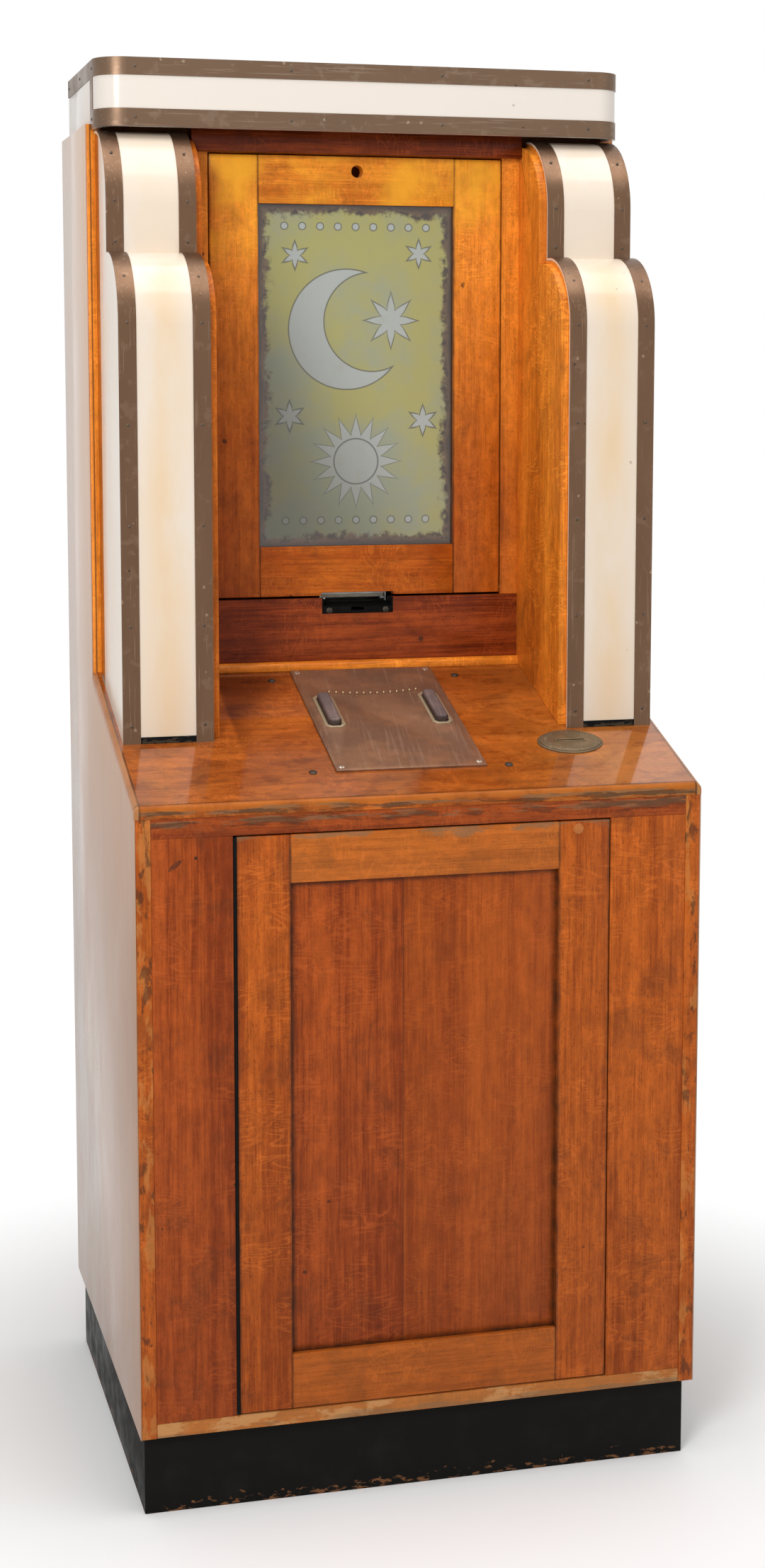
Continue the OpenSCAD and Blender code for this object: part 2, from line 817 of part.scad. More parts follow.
// One plate of the coin chute with its flange under the desk: d is -1 in front, 1 behind
module chute_plate(d) {
    inner = coin_y + d * chute_d / 2;
    outer = inner + d * chute_wall;
    edge = coin_y + d * flange_out;
    across(coin_x - chute_out, coin_x + chute_out) polygon([
        [inner, chute_z], [inner, desk_under(inner)], [outer, desk_under(outer)], [outer, chute_z]
    ]);
    across(coin_x - chute_out - flange_out, coin_x + chute_out + flange_out) polygon([
        [inner, desk_under(inner)], [edge, desk_under(edge)],
        [edge, desk_under(edge) - flange_t], [inner, desk_under(inner) - flange_t]
    ]);
}

module coin_chute() {
    color(steel) placed() difference() {
        union() {
            for (d = [-1, 1]) chute_plate(d);
            for (x = [-1, 1]) translate([coin_x + x * (ear_half + ear_t / 2), 0, 0])
                board([-ear_t / 2, chute_back - cut, lever_z - ear_up],
                      [ear_t / 2, lever_y + ear_back, lever_z + ear_up]);
        }
        board([coin_x - window_half, coin_y, lever_z - window_low],
              [coin_x + window_half, chute_back + cut, lever_z + window_high]);
        translate([coin_x - 2 * ear_half, lever_y, lever_z]) rotate([0, 90, 0])
            cylinder(r = lever_pin_r + fit, h = 4 * ear_half);
    }
}

// The bars between the chute's plates
module chute_spacers() {
    y0 = coin_y - chute_d / 2;
    y1 = coin_y + chute_d / 2;
    color(steel) placed() for (x = [coin_x - chute_out, coin_x + chute_half])
        across(x, x + chute_wall)
            polygon([[y0, chute_z], [y0, desk_under(y0)], [y1, desk_under(y1)], [y1, chute_z]]);
}

module coin_lever() {
    hub_half = ear_half - gap;
    tail = 30;
    color("goldenrod") placed() translate([coin_x, lever_y, lever_z]) {
        rotate([0, 90, 0]) translate([0, 0, -hub_half]) cylinder(r = 5, h = 2 * hub_half);
        rotate([0, 90, 0]) translate([0, 0, -ear_half - ear_t])
            cylinder(r = lever_pin_r, h = 2 * (ear_half + ear_t));
        board([-3, coin_y - lever_y - chute_d / 2 + 1, -1.5], [3, tail, 1.5]);
        translate([0, tail, 0]) rotate([0, 90, 0]) translate([0, 0, -hub_half + 1])
            cylinder(r = 8, h = 2 * hub_half - 2);
    }
}

module cash_box() {
    floor_z = base_top + gap;
    color(steel) placed() difference() {
        board([cash_x0, cash_y, floor_z], [cash_x1, cash_y + cash_l, floor_z + cash_h]);
        board([cash_x0 + cash_wall, cash_y + cash_wall, floor_z + cash_wall],
              [cash_x1 - cash_wall, cash_y + cash_l - cash_wall, floor_z + cash_h + cut]);
        translate([(cash_x0 + cash_x1) / 2, cash_y - cut, floor_z + cash_h]) rotate([-90, 0, 0])
            cylinder(r = cash_grip_r, h = cash_wall + 2 * cut);
    }
}

pivot_y = upper_y + pivot_in;
pivot_z = gdoor_z0 + pivot_in;

// The two pivot bores, from inside the stiles to inside the jambs
module pivot_bores(r, length) {
    for (x = [-1, 1]) translate([x * (gdoor_half + gdoor_side_gap / 2), pivot_y, pivot_z])
        rotate([0, 90, 0]) cylinder(r = r, h = 2 * length, center = true);
}

module upper_frame() {
    color(oak) placed() difference() {
        union() {
            for (x = [[-side_in, -jamb_in], [jamb_in, side_in]])
                board([x[0], upper_y, card_panel_z], [x[1], frame_back, side_top]);
            board([-jamb_in, upper_y, head_z], [jamb_in, frame_back, side_top]);
        }
        pivot_bores(pivot_r + fit, pivot_l + gdoor_side_gap);
    }
}

module door_pivot_pins() {
    color("goldenrod") placed() pivot_bores(pivot_r, pivot_l + gdoor_side_gap / 2);
}

module card_panel() {
    back = upper_y + card_panel_t;
    color(oak_dark) placed() difference() {
        across(-side_in, side_in) polygon([
            [upper_y, desk_top(upper_y)], [upper_y, card_panel_z],
            [back, card_panel_z], [back, desk_top(back)]
        ]);
        board([-tray_half, upper_y - cut, tray_z], [tray_half, back + cut, card_panel_z + cut]);
    }
}

module card_tray() {
    back = frame_back + 6;
    color(black) placed() difference() {
        union() {
            across(-tray_half, tray_half) polygon([
                [upper_y, tray_z], [upper_y, ramp_z], [back, ramp_z + tray_rise],
                [back, ramp_z + tray_rise - tray_t], [upper_y + tray_t, ramp_z - tray_t],
                [upper_y + tray_t, tray_z]
            ]);
            for (x = [-tray_half, tray_half - tray_t]) across(x, x + tray_t) polygon([
                [upper_y, tray_z], [upper_y, card_panel_z - gap],
                [back, card_panel_z - gap], [back, ramp_z + tray_rise - tray_t],
                [upper_y + tray_t, tray_z]
            ]);
        }
        translate([0, upper_y, ramp_z - tray_flange_h / 2]) cylinder(r = tray_notch, h = tray_h);
        for (x = [-tray_screw_x, tray_screw_x])
            translate([x, upper_y - cut, tray_z + tray_flange_h / 2]) rotate([-90, 0, 0])
                cylinder(r = screw_r + fit, h = tray_t + 2 * cut);
    }
}

module soffit_rail() {
    color(oak_dark) placed()
        board([-cheek_face, header_y + soffit_in, head_z], [cheek_face, upper_y, side_top]);
}

// Rebate for the glass, open to the door's back
module glass_rebate() {
    board([-view_half - rebate_w, upper_y + glass_in, view_z0 - rebate_w],
          [view_half + rebate_w, frame_back + cut, view_z1 + rebate_w]);
}

module glass_door_stiles() {
    color(oak) placed() difference() {
        for (x = [[-gdoor_half, -view_half], [view_half, gdoor_half]])
            board([x[0], upper_y, gdoor_z0], [x[1], frame_back, gdoor_z1]);
        glass_rebate();
        pivot_bores(pivot_r + fit, pivot_l + gdoor_side_gap);
    }
}

module glass_door_rails() {
    color(oak) placed() difference() {
        for (z = [[gdoor_z0, view_z0], [view_z1, gdoor_z1]])
            board([-view_half, upper_y, z[0]], [view_half, frame_back, z[1]]);
        glass_rebate();
        board([-tray_half - 1, upper_y - cut, gdoor_z0 - cut],
              [tray_half + 1, frame_back + cut, gdoor_z0 + relief_h]);
        translate([0, upper_y - cut, gdoor_z1 - lock_in]) rotate([-90, 0, 0])
            cylinder(r = lock_r, h = frame_t + 2 * cut);
    }
}

pane_clear = 0.3;
pane_half = view_half + rebate_w - pane_clear;
pane_z0 = view_z0 - rebate_w + pane_clear;
pane_z1 = view_z1 + rebate_w - pane_clear;

module glass_pane() {
    color("darkkhaki") placed()
        board([-pane_half, upper_y + glass_in, pane_z0], [pane_half, upper_y + glass_in + glass_t, pane_z1]);
}

module glass_beads() {
    y0 = upper_y + glass_in + glass_t;
    color(oak) placed() difference() {
        board([-pane_half, y0, pane_z0], [pane_half, frame_back, pane_z1]);
        board([-view_half, y0 - cut, view_z0], [view_half, frame_back + cut, view_z1]);
    }
}

// A block in Y and Z whose upper front corner is rounded
module round_block(front, rear, top, r) {
    square_z = top - r;
    translate([front, 0]) square([rear - front, square_z]);
    translate([front + r, 0]) square([rear - front - r, top]);
    translate([front + r, square_z]) circle(r, $fn = 128);
}

// Stepped pilaster outline standing on the desk, drawn in by an inset
module pilaster_outline(inset, rear) {
    intersection() {
        union() {
            round_block(pil_low_y + inset, rear, pil_step_z - inset, pil_low_r - inset);
            round_block(pil_high_y + inset, rear, pil_top - inset, pil_high_r - inset);
        }
        polygon([[0, desk_top(0)], [0, cab_h], [rear, cab_h], [rear, desk_top(rear)]]);
    }
}

module pilaster_cheeks(side) {
    color(oak) placed() hand(side) {
        across(side_in, pil_out - skin_t) pilaster_outline(pil_front_t, side_front);
        across(pil_inner, pil_inner + pil_board_t) pilaster_outline(pil_front_t, upper_y);
        across(cheek_face, pil_inner) pilaster_outline(cheek_in, upper_y);
    }
}

module left_pilaster_cheeks() { pilaster_cheeks(-1); }
module right_pilaster_cheeks() { pilaster_cheeks(1); }

module pilaster_front(side) {
    color(cream) placed() hand(side) {
        across(pil_inner, pil_out) difference() {
            pilaster_outline(0, upper_y);
            pilaster_outline(pil_front_t, upper_y + cut);
        }
        across(pil_out - skin_t, pil_out) intersection() {
            pilaster_outline(pil_front_t, upper_y);
            union() {
                square([pil_low_y + pil_skin_d, pil_step_z - pil_low_r]);
                square([pil_high_y + pil_skin_d / 2, pil_top]);
            }
        }
    }
}

module left_pilaster_front() { pilaster_front(-1); }
module right_pilaster_front() { pilaster_front(1); }

module pilaster_trims(side) {
    color(bronze) placed() hand(side)
        for (x = [pil_inner, pil_out - trim_w]) across(x, x + trim_w) difference() {
            pilaster_outline(-trim_t, upper_y);
            pilaster_outline(0, upper_y + cut);
        }
}

module left_pilaster_trims() { pilaster_trims(-1); }
module right_pilaster_trims() { pilaster_trims(1); }

module pilaster_foot_strips() {
    z = desk_top(pil_low_y);
    color(bronze) placed() for (side = [-1, 1]) hand(side)
        board([pil_inner + trim_w, pil_low_y - trim_t, z], [pil_out - trim_w, pil_low_y, z + foot_h]);
}

// Plan of the header with rounded front corners, drawn in by an inset
module header_plan(inset, rear) {
    half = header_half - inset;
    front = header_y + inset;
    r = header_r - inset;
    translate([-half, front + r]) square([2 * half, rear - front - r]);
    translate([-half + r, front]) square([2 * (half - r), r]);
    for (x = [-1, 1]) intersection() {
        translate([x * (half - r), front + r]) circle(r);
        translate([-half, front]) square([2 * half, r]);
    }
}

// A wall of the header's plan, open at its rear
module header_wall(outer, inner, rear, z0, z1) {
    translate([0, 0, z0]) linear_extrude(z1 - z0) difference() {
        header_plan(outer, rear);
        header_plan(inner, rear + cut);
    }
}

module header_fascia() {
    color(cream) placed() header_wall(0, header_t, side_front, header_z, cab_h);
}

module header_carcass() {
    color(cream) placed() {
        difference() {
            board([-header_half, side_front, side_top], [header_half, header_back, cab_h]);
            board([-header_half + header_t, side_front - cut, side_top - cut],
                  [header_half - header_t, header_back - header_t, cab_h - header_t]);
        }
        translate([0, 0, cab_h - header_t]) linear_extrude(header_t)
            header_plan(header_t, side_front + cut);
    }
}

module header_top_band() {
    color(bronze) placed() header_wall(-band_t, 0, header_back, cab_h - band_h, cab_h);
}

module header_front_trim() {
    color(bronze) placed() {
        header_wall(-band_t, 0, side_front, header_z, header_z + band_h);
        for (x = [-header_half - band_t, header_half])
            board([x, side_front - band_h, header_z + band_h], [x + band_t, side_front, cab_h - band_h]);
    }
}

inlet_flange_r = inlet_r + 9;
inlet_flange_t = back_in - 0.5;

module back_panel() {
    color("burlywood") placed() difference() {
        board([-side_out, back_front, plinth_h], [side_out, back_face, side_top]);
        translate([0, back_front - cut, inlet_z]) rotate([-90, 0, 0])
            cylinder(r = inlet_r + 3 + fit, h = back_t + 2 * cut);
    }
}

module cable_gland() {
    tail = 8;
    color(black) placed() translate([0, back_front - tail, inlet_z]) rotate([-90, 0, 0]) difference() {
        union() {
            cylinder(r = inlet_r + 3, h = tail + back_t + inlet_flange_t);
            translate([0, 0, tail + back_t]) cylinder(r = inlet_flange_r, h = inlet_flange_t);
        }
        translate([0, 0, -cut]) cylinder(r = inlet_r, h = tail + back_t + inlet_flange_t + 2 * cut);
    }
}

module mechanism_shelf() {
    color("burlywood") placed()
        board([-side_in, frame_back + 2, shelf_z - shelf_t], [side_in, back_front, shelf_z]);
}

module card_magazine() {
    ledge_w = 6;
    color(steel) placed() difference() {
        union() {
            for (x = [-mag_in - mag_wall, mag_in])
                board([x, mag_y0, shelf_z], [x + mag_wall, mag_y1, shelf_z + mag_h]);
            for (y = [mag_y0, mag_y1 - mag_wall])
                board([-mag_in - mag_wall, y, card_z + 5],
                      [mag_in + mag_wall, y + mag_wall, shelf_z + mag_h]);
            for (x = [-mag_in, mag_in - ledge_w])
                board([x, mag_y0, card_z - 2], [x + ledge_w, mag_y1, card_z]);
            board([-mag_in, mag_y0, slide_z - gap - mag_floor], [mag_in, mag_y1, slide_z - gap]);
        }
        board([mag_in - cut, arm_y0 - slide_travel - 2, slide_z - gap],
              [mag_in + mag_wall + cut, mag_y1 + cut, slide_z + slide_t + gap]);
    }
}

module card_stack() {
    color("ivory") placed()
        board([-card_w / 2, mag_y0 + mag_wall + 1, card_z],
              [card_w / 2, mag_y0 + mag_wall + 1 + card_l, card_z + stack_h]);
}

// Flank points of one straight-sided tooth, in shares of the pitch angle
tooth_root = 0.27;
tooth_tip = 0.12;
tooth_out = 0.85;
tooth_in = 1.15;

module gear_outline(teeth) {
    r0 = gear_m * (teeth / 2 - tooth_in);
    r1 = gear_m * (teeth / 2 + tooth_out);
    step = 360 / teeth;
    polygon([
        for (i = [0 : teeth - 1],
             c = [[-tooth_root, r0], [-tooth_tip, r1], [tooth_tip, r1], [tooth_root, r0]])
            c[1] * [cos((i + c[0]) * step), sin((i + c[0]) * step)]
    ]);
}

// Turns a gear drawn in X and Y to lie across, its first tooth towards the back
module gear_across(x0, w, teeth, turn) {
    translate([x0, 0, 0]) rotate([90, 0, 90]) rotate(turn) linear_extrude(w) gear_outline(teeth);
}

module card_slide() {
    pitch = PI * gear_m;
    color("silver") placed() {
        board([-mag_in + gap, mag_y0 + 4 + slide_travel, slide_z],
              [mag_in - gap, arm_y0 + arm_w, slide_z + slide_t]);
        board([mag_in - cut, arm_y0, slide_z], [rack_x0 + cut, arm_y0 + arm_w, slide_z + slide_t]);
        across(rack_x0, rack_x0 + rack_w) {
            translate([rack_y0, slide_z]) square([rack_y1 - rack_y0, rack_root_z - slide_z]);
            for (i = [0 : floor((rack_y1 - feed_y) / pitch - 1)])
                translate([feed_y + (i + 0.5) * pitch, rack_root_z]) polygon([
                    [-tooth_root * pitch, -cut], [tooth_root * pitch, -cut], [tooth_root * pitch, 0],
                    [tooth_tip * pitch, (tooth_in + tooth_out) * gear_m],
                    [-tooth_tip * pitch, (tooth_in + tooth_out) * gear_m], [-tooth_root * pitch, 0]
                ]);
        }
    }
}

module gear_bracket() {
    color("dimgray") placed() difference() {
        board([block_x0, feed_y - block_half, shelf_z],
              [block_x0 + block_w, feed_y + block_half, feed_z + block_half]);
        translate([block_x0 - cut, feed_y, feed_z]) rotate([0, 90, 0])
            cylinder(r = feed_shaft_r + fit, h = block_w + 2 * cut);
    }
}

module feed_gear() {
    color("goldenrod") placed() translate([0, feed_y, feed_z]) {
        gear_across(rack_x0 + 1, rack_w - 2, rack_teeth, -90);
        gear_across(feed_x0, feed_w, feed_teeth, 0);
        translate([rack_x0 + 1, 0, 0]) rotate([0, 90, 0])
            cylinder(r = feed_shaft_r, h = block_x0 + block_w - rack_x0 + 2);
        translate([rack_x0 + 1, 0, 0]) rotate([0, 90, 0])
            cylinder(r = 2 * feed_shaft_r, h = block_x0 - gap - rack_x0 - 1);
        translate([block_x0 + block_w + gap, 0, 0]) rotate([0, 90, 0])
            cylinder(r = 2 * feed_shaft_r, h = 3);
    }
}

shaft_in = 14;

module drive_pinion() {
    color("goldenrod") placed() translate([0, drive_y, feed_z]) {
        gear_across(feed_x0 - 1, feed_w + 2, drive_teeth, 180 + 180 / drive_teeth);
        translate([feed_x0 - 1, 0, 0]) rotate([0, 90, 0])
            cylinder(r = motor_shaft_r, h = motor_x0 + shaft_in - feed_x0);
    }
}

module motor() {
    foot_half = motor_r * 0.7;
    color("dimgray") placed() difference() {
        union() {
            translate([motor_x0, drive_y, feed_z]) rotate([0, 90, 0]) cylinder(r = motor_r, h = motor_l);
            translate([motor_x0 - 4, drive_y, feed_z]) rotate([0, 90, 0])
                cylinder(r = 3 * motor_shaft_r, h = motor_l + 4);
            board([motor_x0 + 8, drive_y - foot_half, shelf_z],
                  [motor_x0 + motor_l - 8, drive_y + foot_half, feed_z]);
        }
        translate([motor_x0 - 4 - cut, drive_y, feed_z]) rotate([0, 90, 0])
            cylinder(r = motor_shaft_r + fit, h = shaft_in + 4 + 2 * cut);
    }
}

module lamp() {
    holder_r = 20;
    holder_l = 30;
    neck_r = 13;
    placed() translate([0, back_front, lamp_z]) rotate([90, 0, 0]) {
        color(black) cylinder(r = holder_r, h = holder_l);
        color("ivory") rotate_extrude() intersection() {
            union() {
                translate([0, holder_l]) square([neck_r, bulb_r]);
                translate([0, holder_l + 1.6 * bulb_r]) circle(bulb_r);
            }
            translate([0, holder_l]) square([2 * bulb_r, 3 * bulb_r]);
        }
    }
}

plinth();
base_board();
left_side_panel();
right_side_panel();
left_side_skin();
right_side_skin();
left_front_panel();
right_front_panel();
front_top_rail();
lower_door_stiles();
lower_door_rails();
lower_door_panel();
hinge_fixed_leaf();
hinge_door_leaf();
hinge_pin();
desk_board();
desk_moulding();
desk_bolts();
hand_plate();
plate_screws();
left_guide_bar();
right_guide_bar();
reader_pins();
reader_frame();
coin_plate();
coin_chute();
chute_spacers();
coin_lever();
cash_box();
upper_frame();
card_panel();
card_tray();
soffit_rail();
glass_door_stiles();
glass_door_rails();
glass_pane();
glass_beads();
door_pivot_pins();
left_pilaster_cheeks();
right_pilaster_cheeks();
left_pilaster_front();
right_pilaster_front();
left_pilaster_trims();
right_pilaster_trims();
pilaster_foot_strips();
header_carcass();
header_fascia();
header_top_band();
header_front_trim();
back_panel();
cable_gland();
mechanism_shelf();
card_magazine();
card_stack();
card_slide();
gear_bracket();
feed_gear();
drive_pinion();
motor();
lamp();
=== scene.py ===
"""Finishes, small fittings and studio for a palm-reading coin machine.

Lengths are metres in the frame's own axes: +Z is up and the front looks towards -Y.
"""

import json
import math

import bmesh
import bpy
from mathutils import Matrix, Vector


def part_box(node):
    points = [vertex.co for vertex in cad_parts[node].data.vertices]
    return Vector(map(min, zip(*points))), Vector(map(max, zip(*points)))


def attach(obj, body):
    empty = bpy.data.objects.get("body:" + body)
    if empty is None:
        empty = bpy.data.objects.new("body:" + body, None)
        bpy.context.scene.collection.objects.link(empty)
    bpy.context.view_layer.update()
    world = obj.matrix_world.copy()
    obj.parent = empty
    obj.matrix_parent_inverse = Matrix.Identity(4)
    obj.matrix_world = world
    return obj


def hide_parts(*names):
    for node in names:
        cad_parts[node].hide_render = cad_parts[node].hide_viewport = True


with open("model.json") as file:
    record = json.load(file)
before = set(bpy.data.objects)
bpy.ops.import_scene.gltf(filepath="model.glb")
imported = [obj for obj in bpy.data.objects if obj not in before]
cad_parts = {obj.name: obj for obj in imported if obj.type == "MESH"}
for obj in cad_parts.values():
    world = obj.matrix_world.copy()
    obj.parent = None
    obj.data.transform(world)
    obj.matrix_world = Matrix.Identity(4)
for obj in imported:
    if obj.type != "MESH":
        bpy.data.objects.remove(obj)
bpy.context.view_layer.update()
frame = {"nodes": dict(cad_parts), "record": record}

bl_info = {
    "name": "Palm Reader Cabinet",
    "version": (1, 0, 0),
    "blender": (4, 5, 0),
    "location": "View3D > Sidebar > Palm Reader",
    "description": "Finishes, small fittings and studio for a palm-reading coin machine",
    "category": "Object",
}

MM = 0.001
BODY_OF = {
    node: body
    for body, nodes in frame["record"]["behaviour"]["bodies"].items()
    for node in nodes
}
FRONT_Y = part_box("desk_board")[0].y
DESK_SLOPE = math.radians(18.8)
DESK_EDGE_Z = 0.877


def color_prop(label, description, default):
    """A linear colour that the user can change."""
    return bpy.props.FloatVectorProperty(
        name=label, description=description, default=default, subtype="COLOR", size=3, min=0.0, max=1.0
    )


def number_prop(label, description, default, **limits):
    """A number that the user can change."""
    return bpy.props.FloatProperty(name=label, description=description, default=default, **limits)


def length_prop(label, description, default):
    """A length that the user can change."""
    return number_prop(label, description, default, unit="LENGTH", precision=5, min=0.0)


class OakFinish(bpy.types.PropertyGroup):
    """Colours and figure of the varnished oak"""

    honey_light: color_prop("Honey light", "Light streaks of the upper frame", (0.92, 0.305, 0.030))
    honey_dark: color_prop("Honey dark", "Dark streaks of the upper frame", (0.58, 0.155, 0.013))
    amber_light: color_prop("Amber light", "Light streaks of the door frame and desk", (0.48, 0.108, 0.013))
    amber_dark: color_prop("Amber dark", "Dark streaks of the door frame and desk", (0.27, 0.050, 0.006))
    russet_light: color_prop("Russet light", "Light streaks of the lower panels", (0.37, 0.072, 0.011))
    russet_dark: color_prop("Russet dark", "Dark streaks of the lower panels", (0.20, 0.032, 0.005))
    cherry_light: color_prop("Cherry light", "Light streaks of the card panel", (0.34, 0.066, 0.012))
    cherry_dark: color_prop("Cherry dark", "Dark streaks of the card panel", (0.13, 0.020, 0.005))
    # This colour also paints shade: under the header and round the lower door's panel.
    grime_and_shade: color_prop("Grime", "Dirt in dents and corners", (0.045, 0.020, 0.010))
    bare: color_prop("Bare wood", "Grey wood where the varnish is gone", (0.185, 0.120, 0.062))
    rays: number_prop("Ray flecks", "Strength of the quartered figure", 0.36, min=0.0, max=1.0)
    rounding: length_prop("Edge rounding", "Rounding of the boards' edges", 1.2 * MM)


class ShellFinish(bpy.types.PropertyGroup):
    """Colours of the laminate, the paint and the glass"""

    laminate: color_prop("Laminate", "Cream laminate", (0.80, 0.735, 0.67))
    stain: color_prop("Laminate stain", "Peach stains in the laminate", (0.80, 0.605, 0.39))
    plinth: color_prop("Plinth", "Black paint of the plinth", (0.007, 0.0068, 0.0062))
    chip: color_prop("Chips", "Wood under the black paint", (0.20, 0.085, 0.035))
    ground: color_prop("Glass ground", "Yellow-green paint behind the glass", (0.33, 0.315, 0.09))
    faded: color_prop("Glass faded", "Faded paint behind the glass", (0.26, 0.29, 0.20))
    margin: color_prop("Glass margin", "Bare margin round the paint", (0.080, 0.036, 0.018))
    motif: color_prop("Glass motif", "Pale shapes behind the glass", (0.35, 0.385, 0.365))
    outline: color_prop("Glass outline", "Dark lines behind the glass", (0.07, 0.07, 0.055))
    flaked: color_prop("Glass edge", "Flaked dark edge of the paint", (0.028, 0.013, 0.006))


class MetalFinish(bpy.types.PropertyGroup):
    """Colours of the metal pieces"""

    bronze: color_prop("Bronze", "Brown strip on pilasters and header", (0.165, 0.092, 0.053))
    bronze_worn: color_prop("Bronze worn", "Rubbed bronze", (0.27, 0.175, 0.115))
    copper: color_prop("Copper", "Brown hand plate", (0.33, 0.162, 0.084))
    copper_worn: color_prop("Copper worn", "Scratches of the hand plate", (0.50, 0.36, 0.27))
    coin: color_prop("Coin plate", "Olive bronze of the coin plate", (0.235, 0.160, 0.082))
    steel: color_prop("Steel", "Plain steel of the inner works", (0.42, 0.42, 0.41))
    brass: color_prop("Brass", "Gears and pins", (0.60, 0.42, 0.16))
    enamel: color_prop("Enamel", "Black enamel of tray and gland", (0.006, 0.006, 0.006))
    casting: color_prop("Casting", "Grey paint of motor and bracket", (0.10, 0.11, 0.11))


class FittingSizes(bpy.types.PropertyGroup):
    """Sizes of the small fittings"""

    nail_radius: length_prop("Nail radius", "Heads of the trim nails", 1.9 * MM)
    nail_pitch: length_prop("Nail pitch", "Distance between the trim nails", 132 * MM)
    screw_radius: length_prop("Screw radius", "Heads of the plate screws", 4.2 * MM)
    back_pitch: length_prop("Back screw pitch", "Distance between the back panel's screws", 260 * MM)
    plug_radius: length_prop("Plug radius", "Round plug in the lower door", 6.5 * MM)


class StudioSetup(bpy.types.PropertyGroup):
    """Camera, floor and lamps"""

    camera_place: bpy.props.FloatVectorProperty(
        name="Camera place", description="Where the camera stands", subtype="XYZ", unit="LENGTH",
        size=3, default=(-0.7658, -3.0574, 1.3792),
    )
    camera_yaw: number_prop("Camera yaw", "Turn to the right", 0.25375, subtype="ANGLE")
    camera_pitch: number_prop("Camera pitch", "Tilt below the horizon", 0.1109, subtype="ANGLE")
    lens: number_prop("Lens", "Focal length on a 36 mm long side", 55.19, min=1.0)
    shift: bpy.props.FloatVectorProperty(
        name="Shift", description="Lens shift of the photograph's framing", size=2,
        default=(-0.0026, -0.0887),
    )
    floor: color_prop("Floor", "Pale floor", (0.975, 0.975, 0.975))
    key_power: number_prop("Key", "Key lamp", 79.0, unit="POWER")
    fill_power: number_prop("Fill", "Fill lamp", 8.0, unit="POWER")
    top_power: number_prop("Top", "Top lamp", 62.0, unit="POWER")
    sky: number_prop("Sky", "Strength of the plain sky", 0.44)


# Shader building

def feed(tree, socket, value):
    """Links a socket to a value, or sets it."""
    if isinstance(value, bpy.types.NodeSocket):
        tree.links.new(value, socket)
    elif socket.type == "RGBA" and len(value) == 3:
        socket.default_value = (*value, 1.0)
    else:
        socket.default_value = value


def math_node(tree, kind, operation, values):
    """A Math or Vector Math node that works on some values."""
    step = tree.nodes.new("ShaderNode" + kind)
    step.operation = operation
    for socket, value in zip(step.inputs, values):
        feed(tree, socket, value)
    return step


def calc(tree, operation, *values):
    """The result of one Math node."""
    return math_node(tree, "Math", operation, values).outputs[0]


def times(tree, first, second):
    """The product of two values."""
    return calc(tree, "MULTIPLY", first, second)


def vector_calc(tree, operation, *values):
    """The vector that one Vector Math node gives."""
    return math_node(tree, "VectorMath", operation, values).outputs[0]


def stretch(tree, vector, scale):
    """A vector with its x, y and z scaled."""
    return vector_calc(tree, "MULTIPLY", vector, scale)


def mix(tree, factor, first, second, mode="MIX"):
    """A colour between two, by a factor."""
    step = tree.nodes.new("ShaderNodeMix")
    step.data_type = "RGBA"
    step.blend_type = mode
    for socket, value in zip((step.inputs[0], step.inputs[6], step.inputs[7]), (factor, first, second)):
        feed(tree, socket, value)
    return step.outputs[2]


def ease(tree, value, low, high, out_low=0.0, out_high=1.0):
    """Maps low..high smoothly to out_low..out_high."""
    step = tree.nodes.new("ShaderNodeMapRange")
    step.interpolation_type = "SMOOTHSTEP"
    for socket, number in zip(step.inputs[:5], (value, low, high, out_low, out_high)):
        feed(tree, socket, number)
    return step.outputs[0]


def noise(tree, vector, scale, detail=3.0, roughness=0.55, distortion=0.0):
    """Noise from 0 to 1 with features of about 1 / scale metres."""
    step = tree.nodes.new("ShaderNodeTexNoise")
    settings = {"Vector": vector, "Scale": scale, "Detail": detail, "Roughness": roughness,
                "Distortion": distortion}
    for label, value in settings.items():
        feed(tree, step.inputs[label], value)
    return step.outputs[0]


def noise_vector(tree, vector, scale):
    """Noise as a vector, to bend another pattern."""
    step = tree.nodes.new("ShaderNodeTexNoise")
    feed(tree, step.inputs["Vector"], vector)
    feed(tree, step.inputs["Scale"], scale)
    return step.outputs["Color"]


def uneven(tree, point, scale, detail, low, high):
    """A value that drifts between low and high over the surface."""
    return ease(tree, noise(tree, point, scale, detail), 0.3, 0.7, low, high)


def parts_of(tree, vector):
    """The x, y and z of a vector."""
    step = tree.nodes.new("ShaderNodeSeparateXYZ")
    feed(tree, step.inputs[0], vector)
    return step.outputs


def object_point(tree):
    """The shaded point in the frame's own axes."""
    return tree.nodes.new("ShaderNodeTexCoord").outputs["Object"]


def turned(tree, vector, rotation, location=(0, 0, 0)):
    """A vector turned and moved by a Mapping node."""
    step = tree.nodes.new("ShaderNodeMapping")
    for label, value in (("Vector", vector), ("Location", location), ("Rotation", rotation)):
        feed(tree, step.inputs[label], value)
    return step.outputs[0]


def coordinate(tree, axis):
    """The x, y or z of the shaded point."""
    return parts_of(tree, object_point(tree))["XYZ".index(axis)]


def new_group(label, inputs, outputs):
    """An empty shader group, with its inner inputs and outputs."""
    group = bpy.data.node_groups.new(label, "ShaderNodeTree")
    for name, kind, default in inputs:
        socket = group.interface.new_socket(name, in_out="INPUT", socket_type="NodeSocket" + kind)
        if default is not None:
            socket.default_value = default
    for name, kind in outputs:
        group.interface.new_socket(name, in_out="OUTPUT", socket_type="NodeSocket" + kind)
    start = group.nodes.new("NodeGroupInput")
    end = group.nodes.new("NodeGroupOutput")
    return group, start.outputs, end.inputs


def place_group(tree, label, **values):
    """Puts a shader group in a material, with values for some of its inputs."""
    step = tree.nodes.new("ShaderNodeGroup")
    step.node_tree = bpy.data.node_groups[label]
    for name, value in values.items():
        feed(tree, step.inputs[name.capitalize()], value)
    return step.outputs


def mask_of(tree, label, **values):
    """The mask that a shader group gives."""
    return place_group(tree, label, **values)["Mask"]


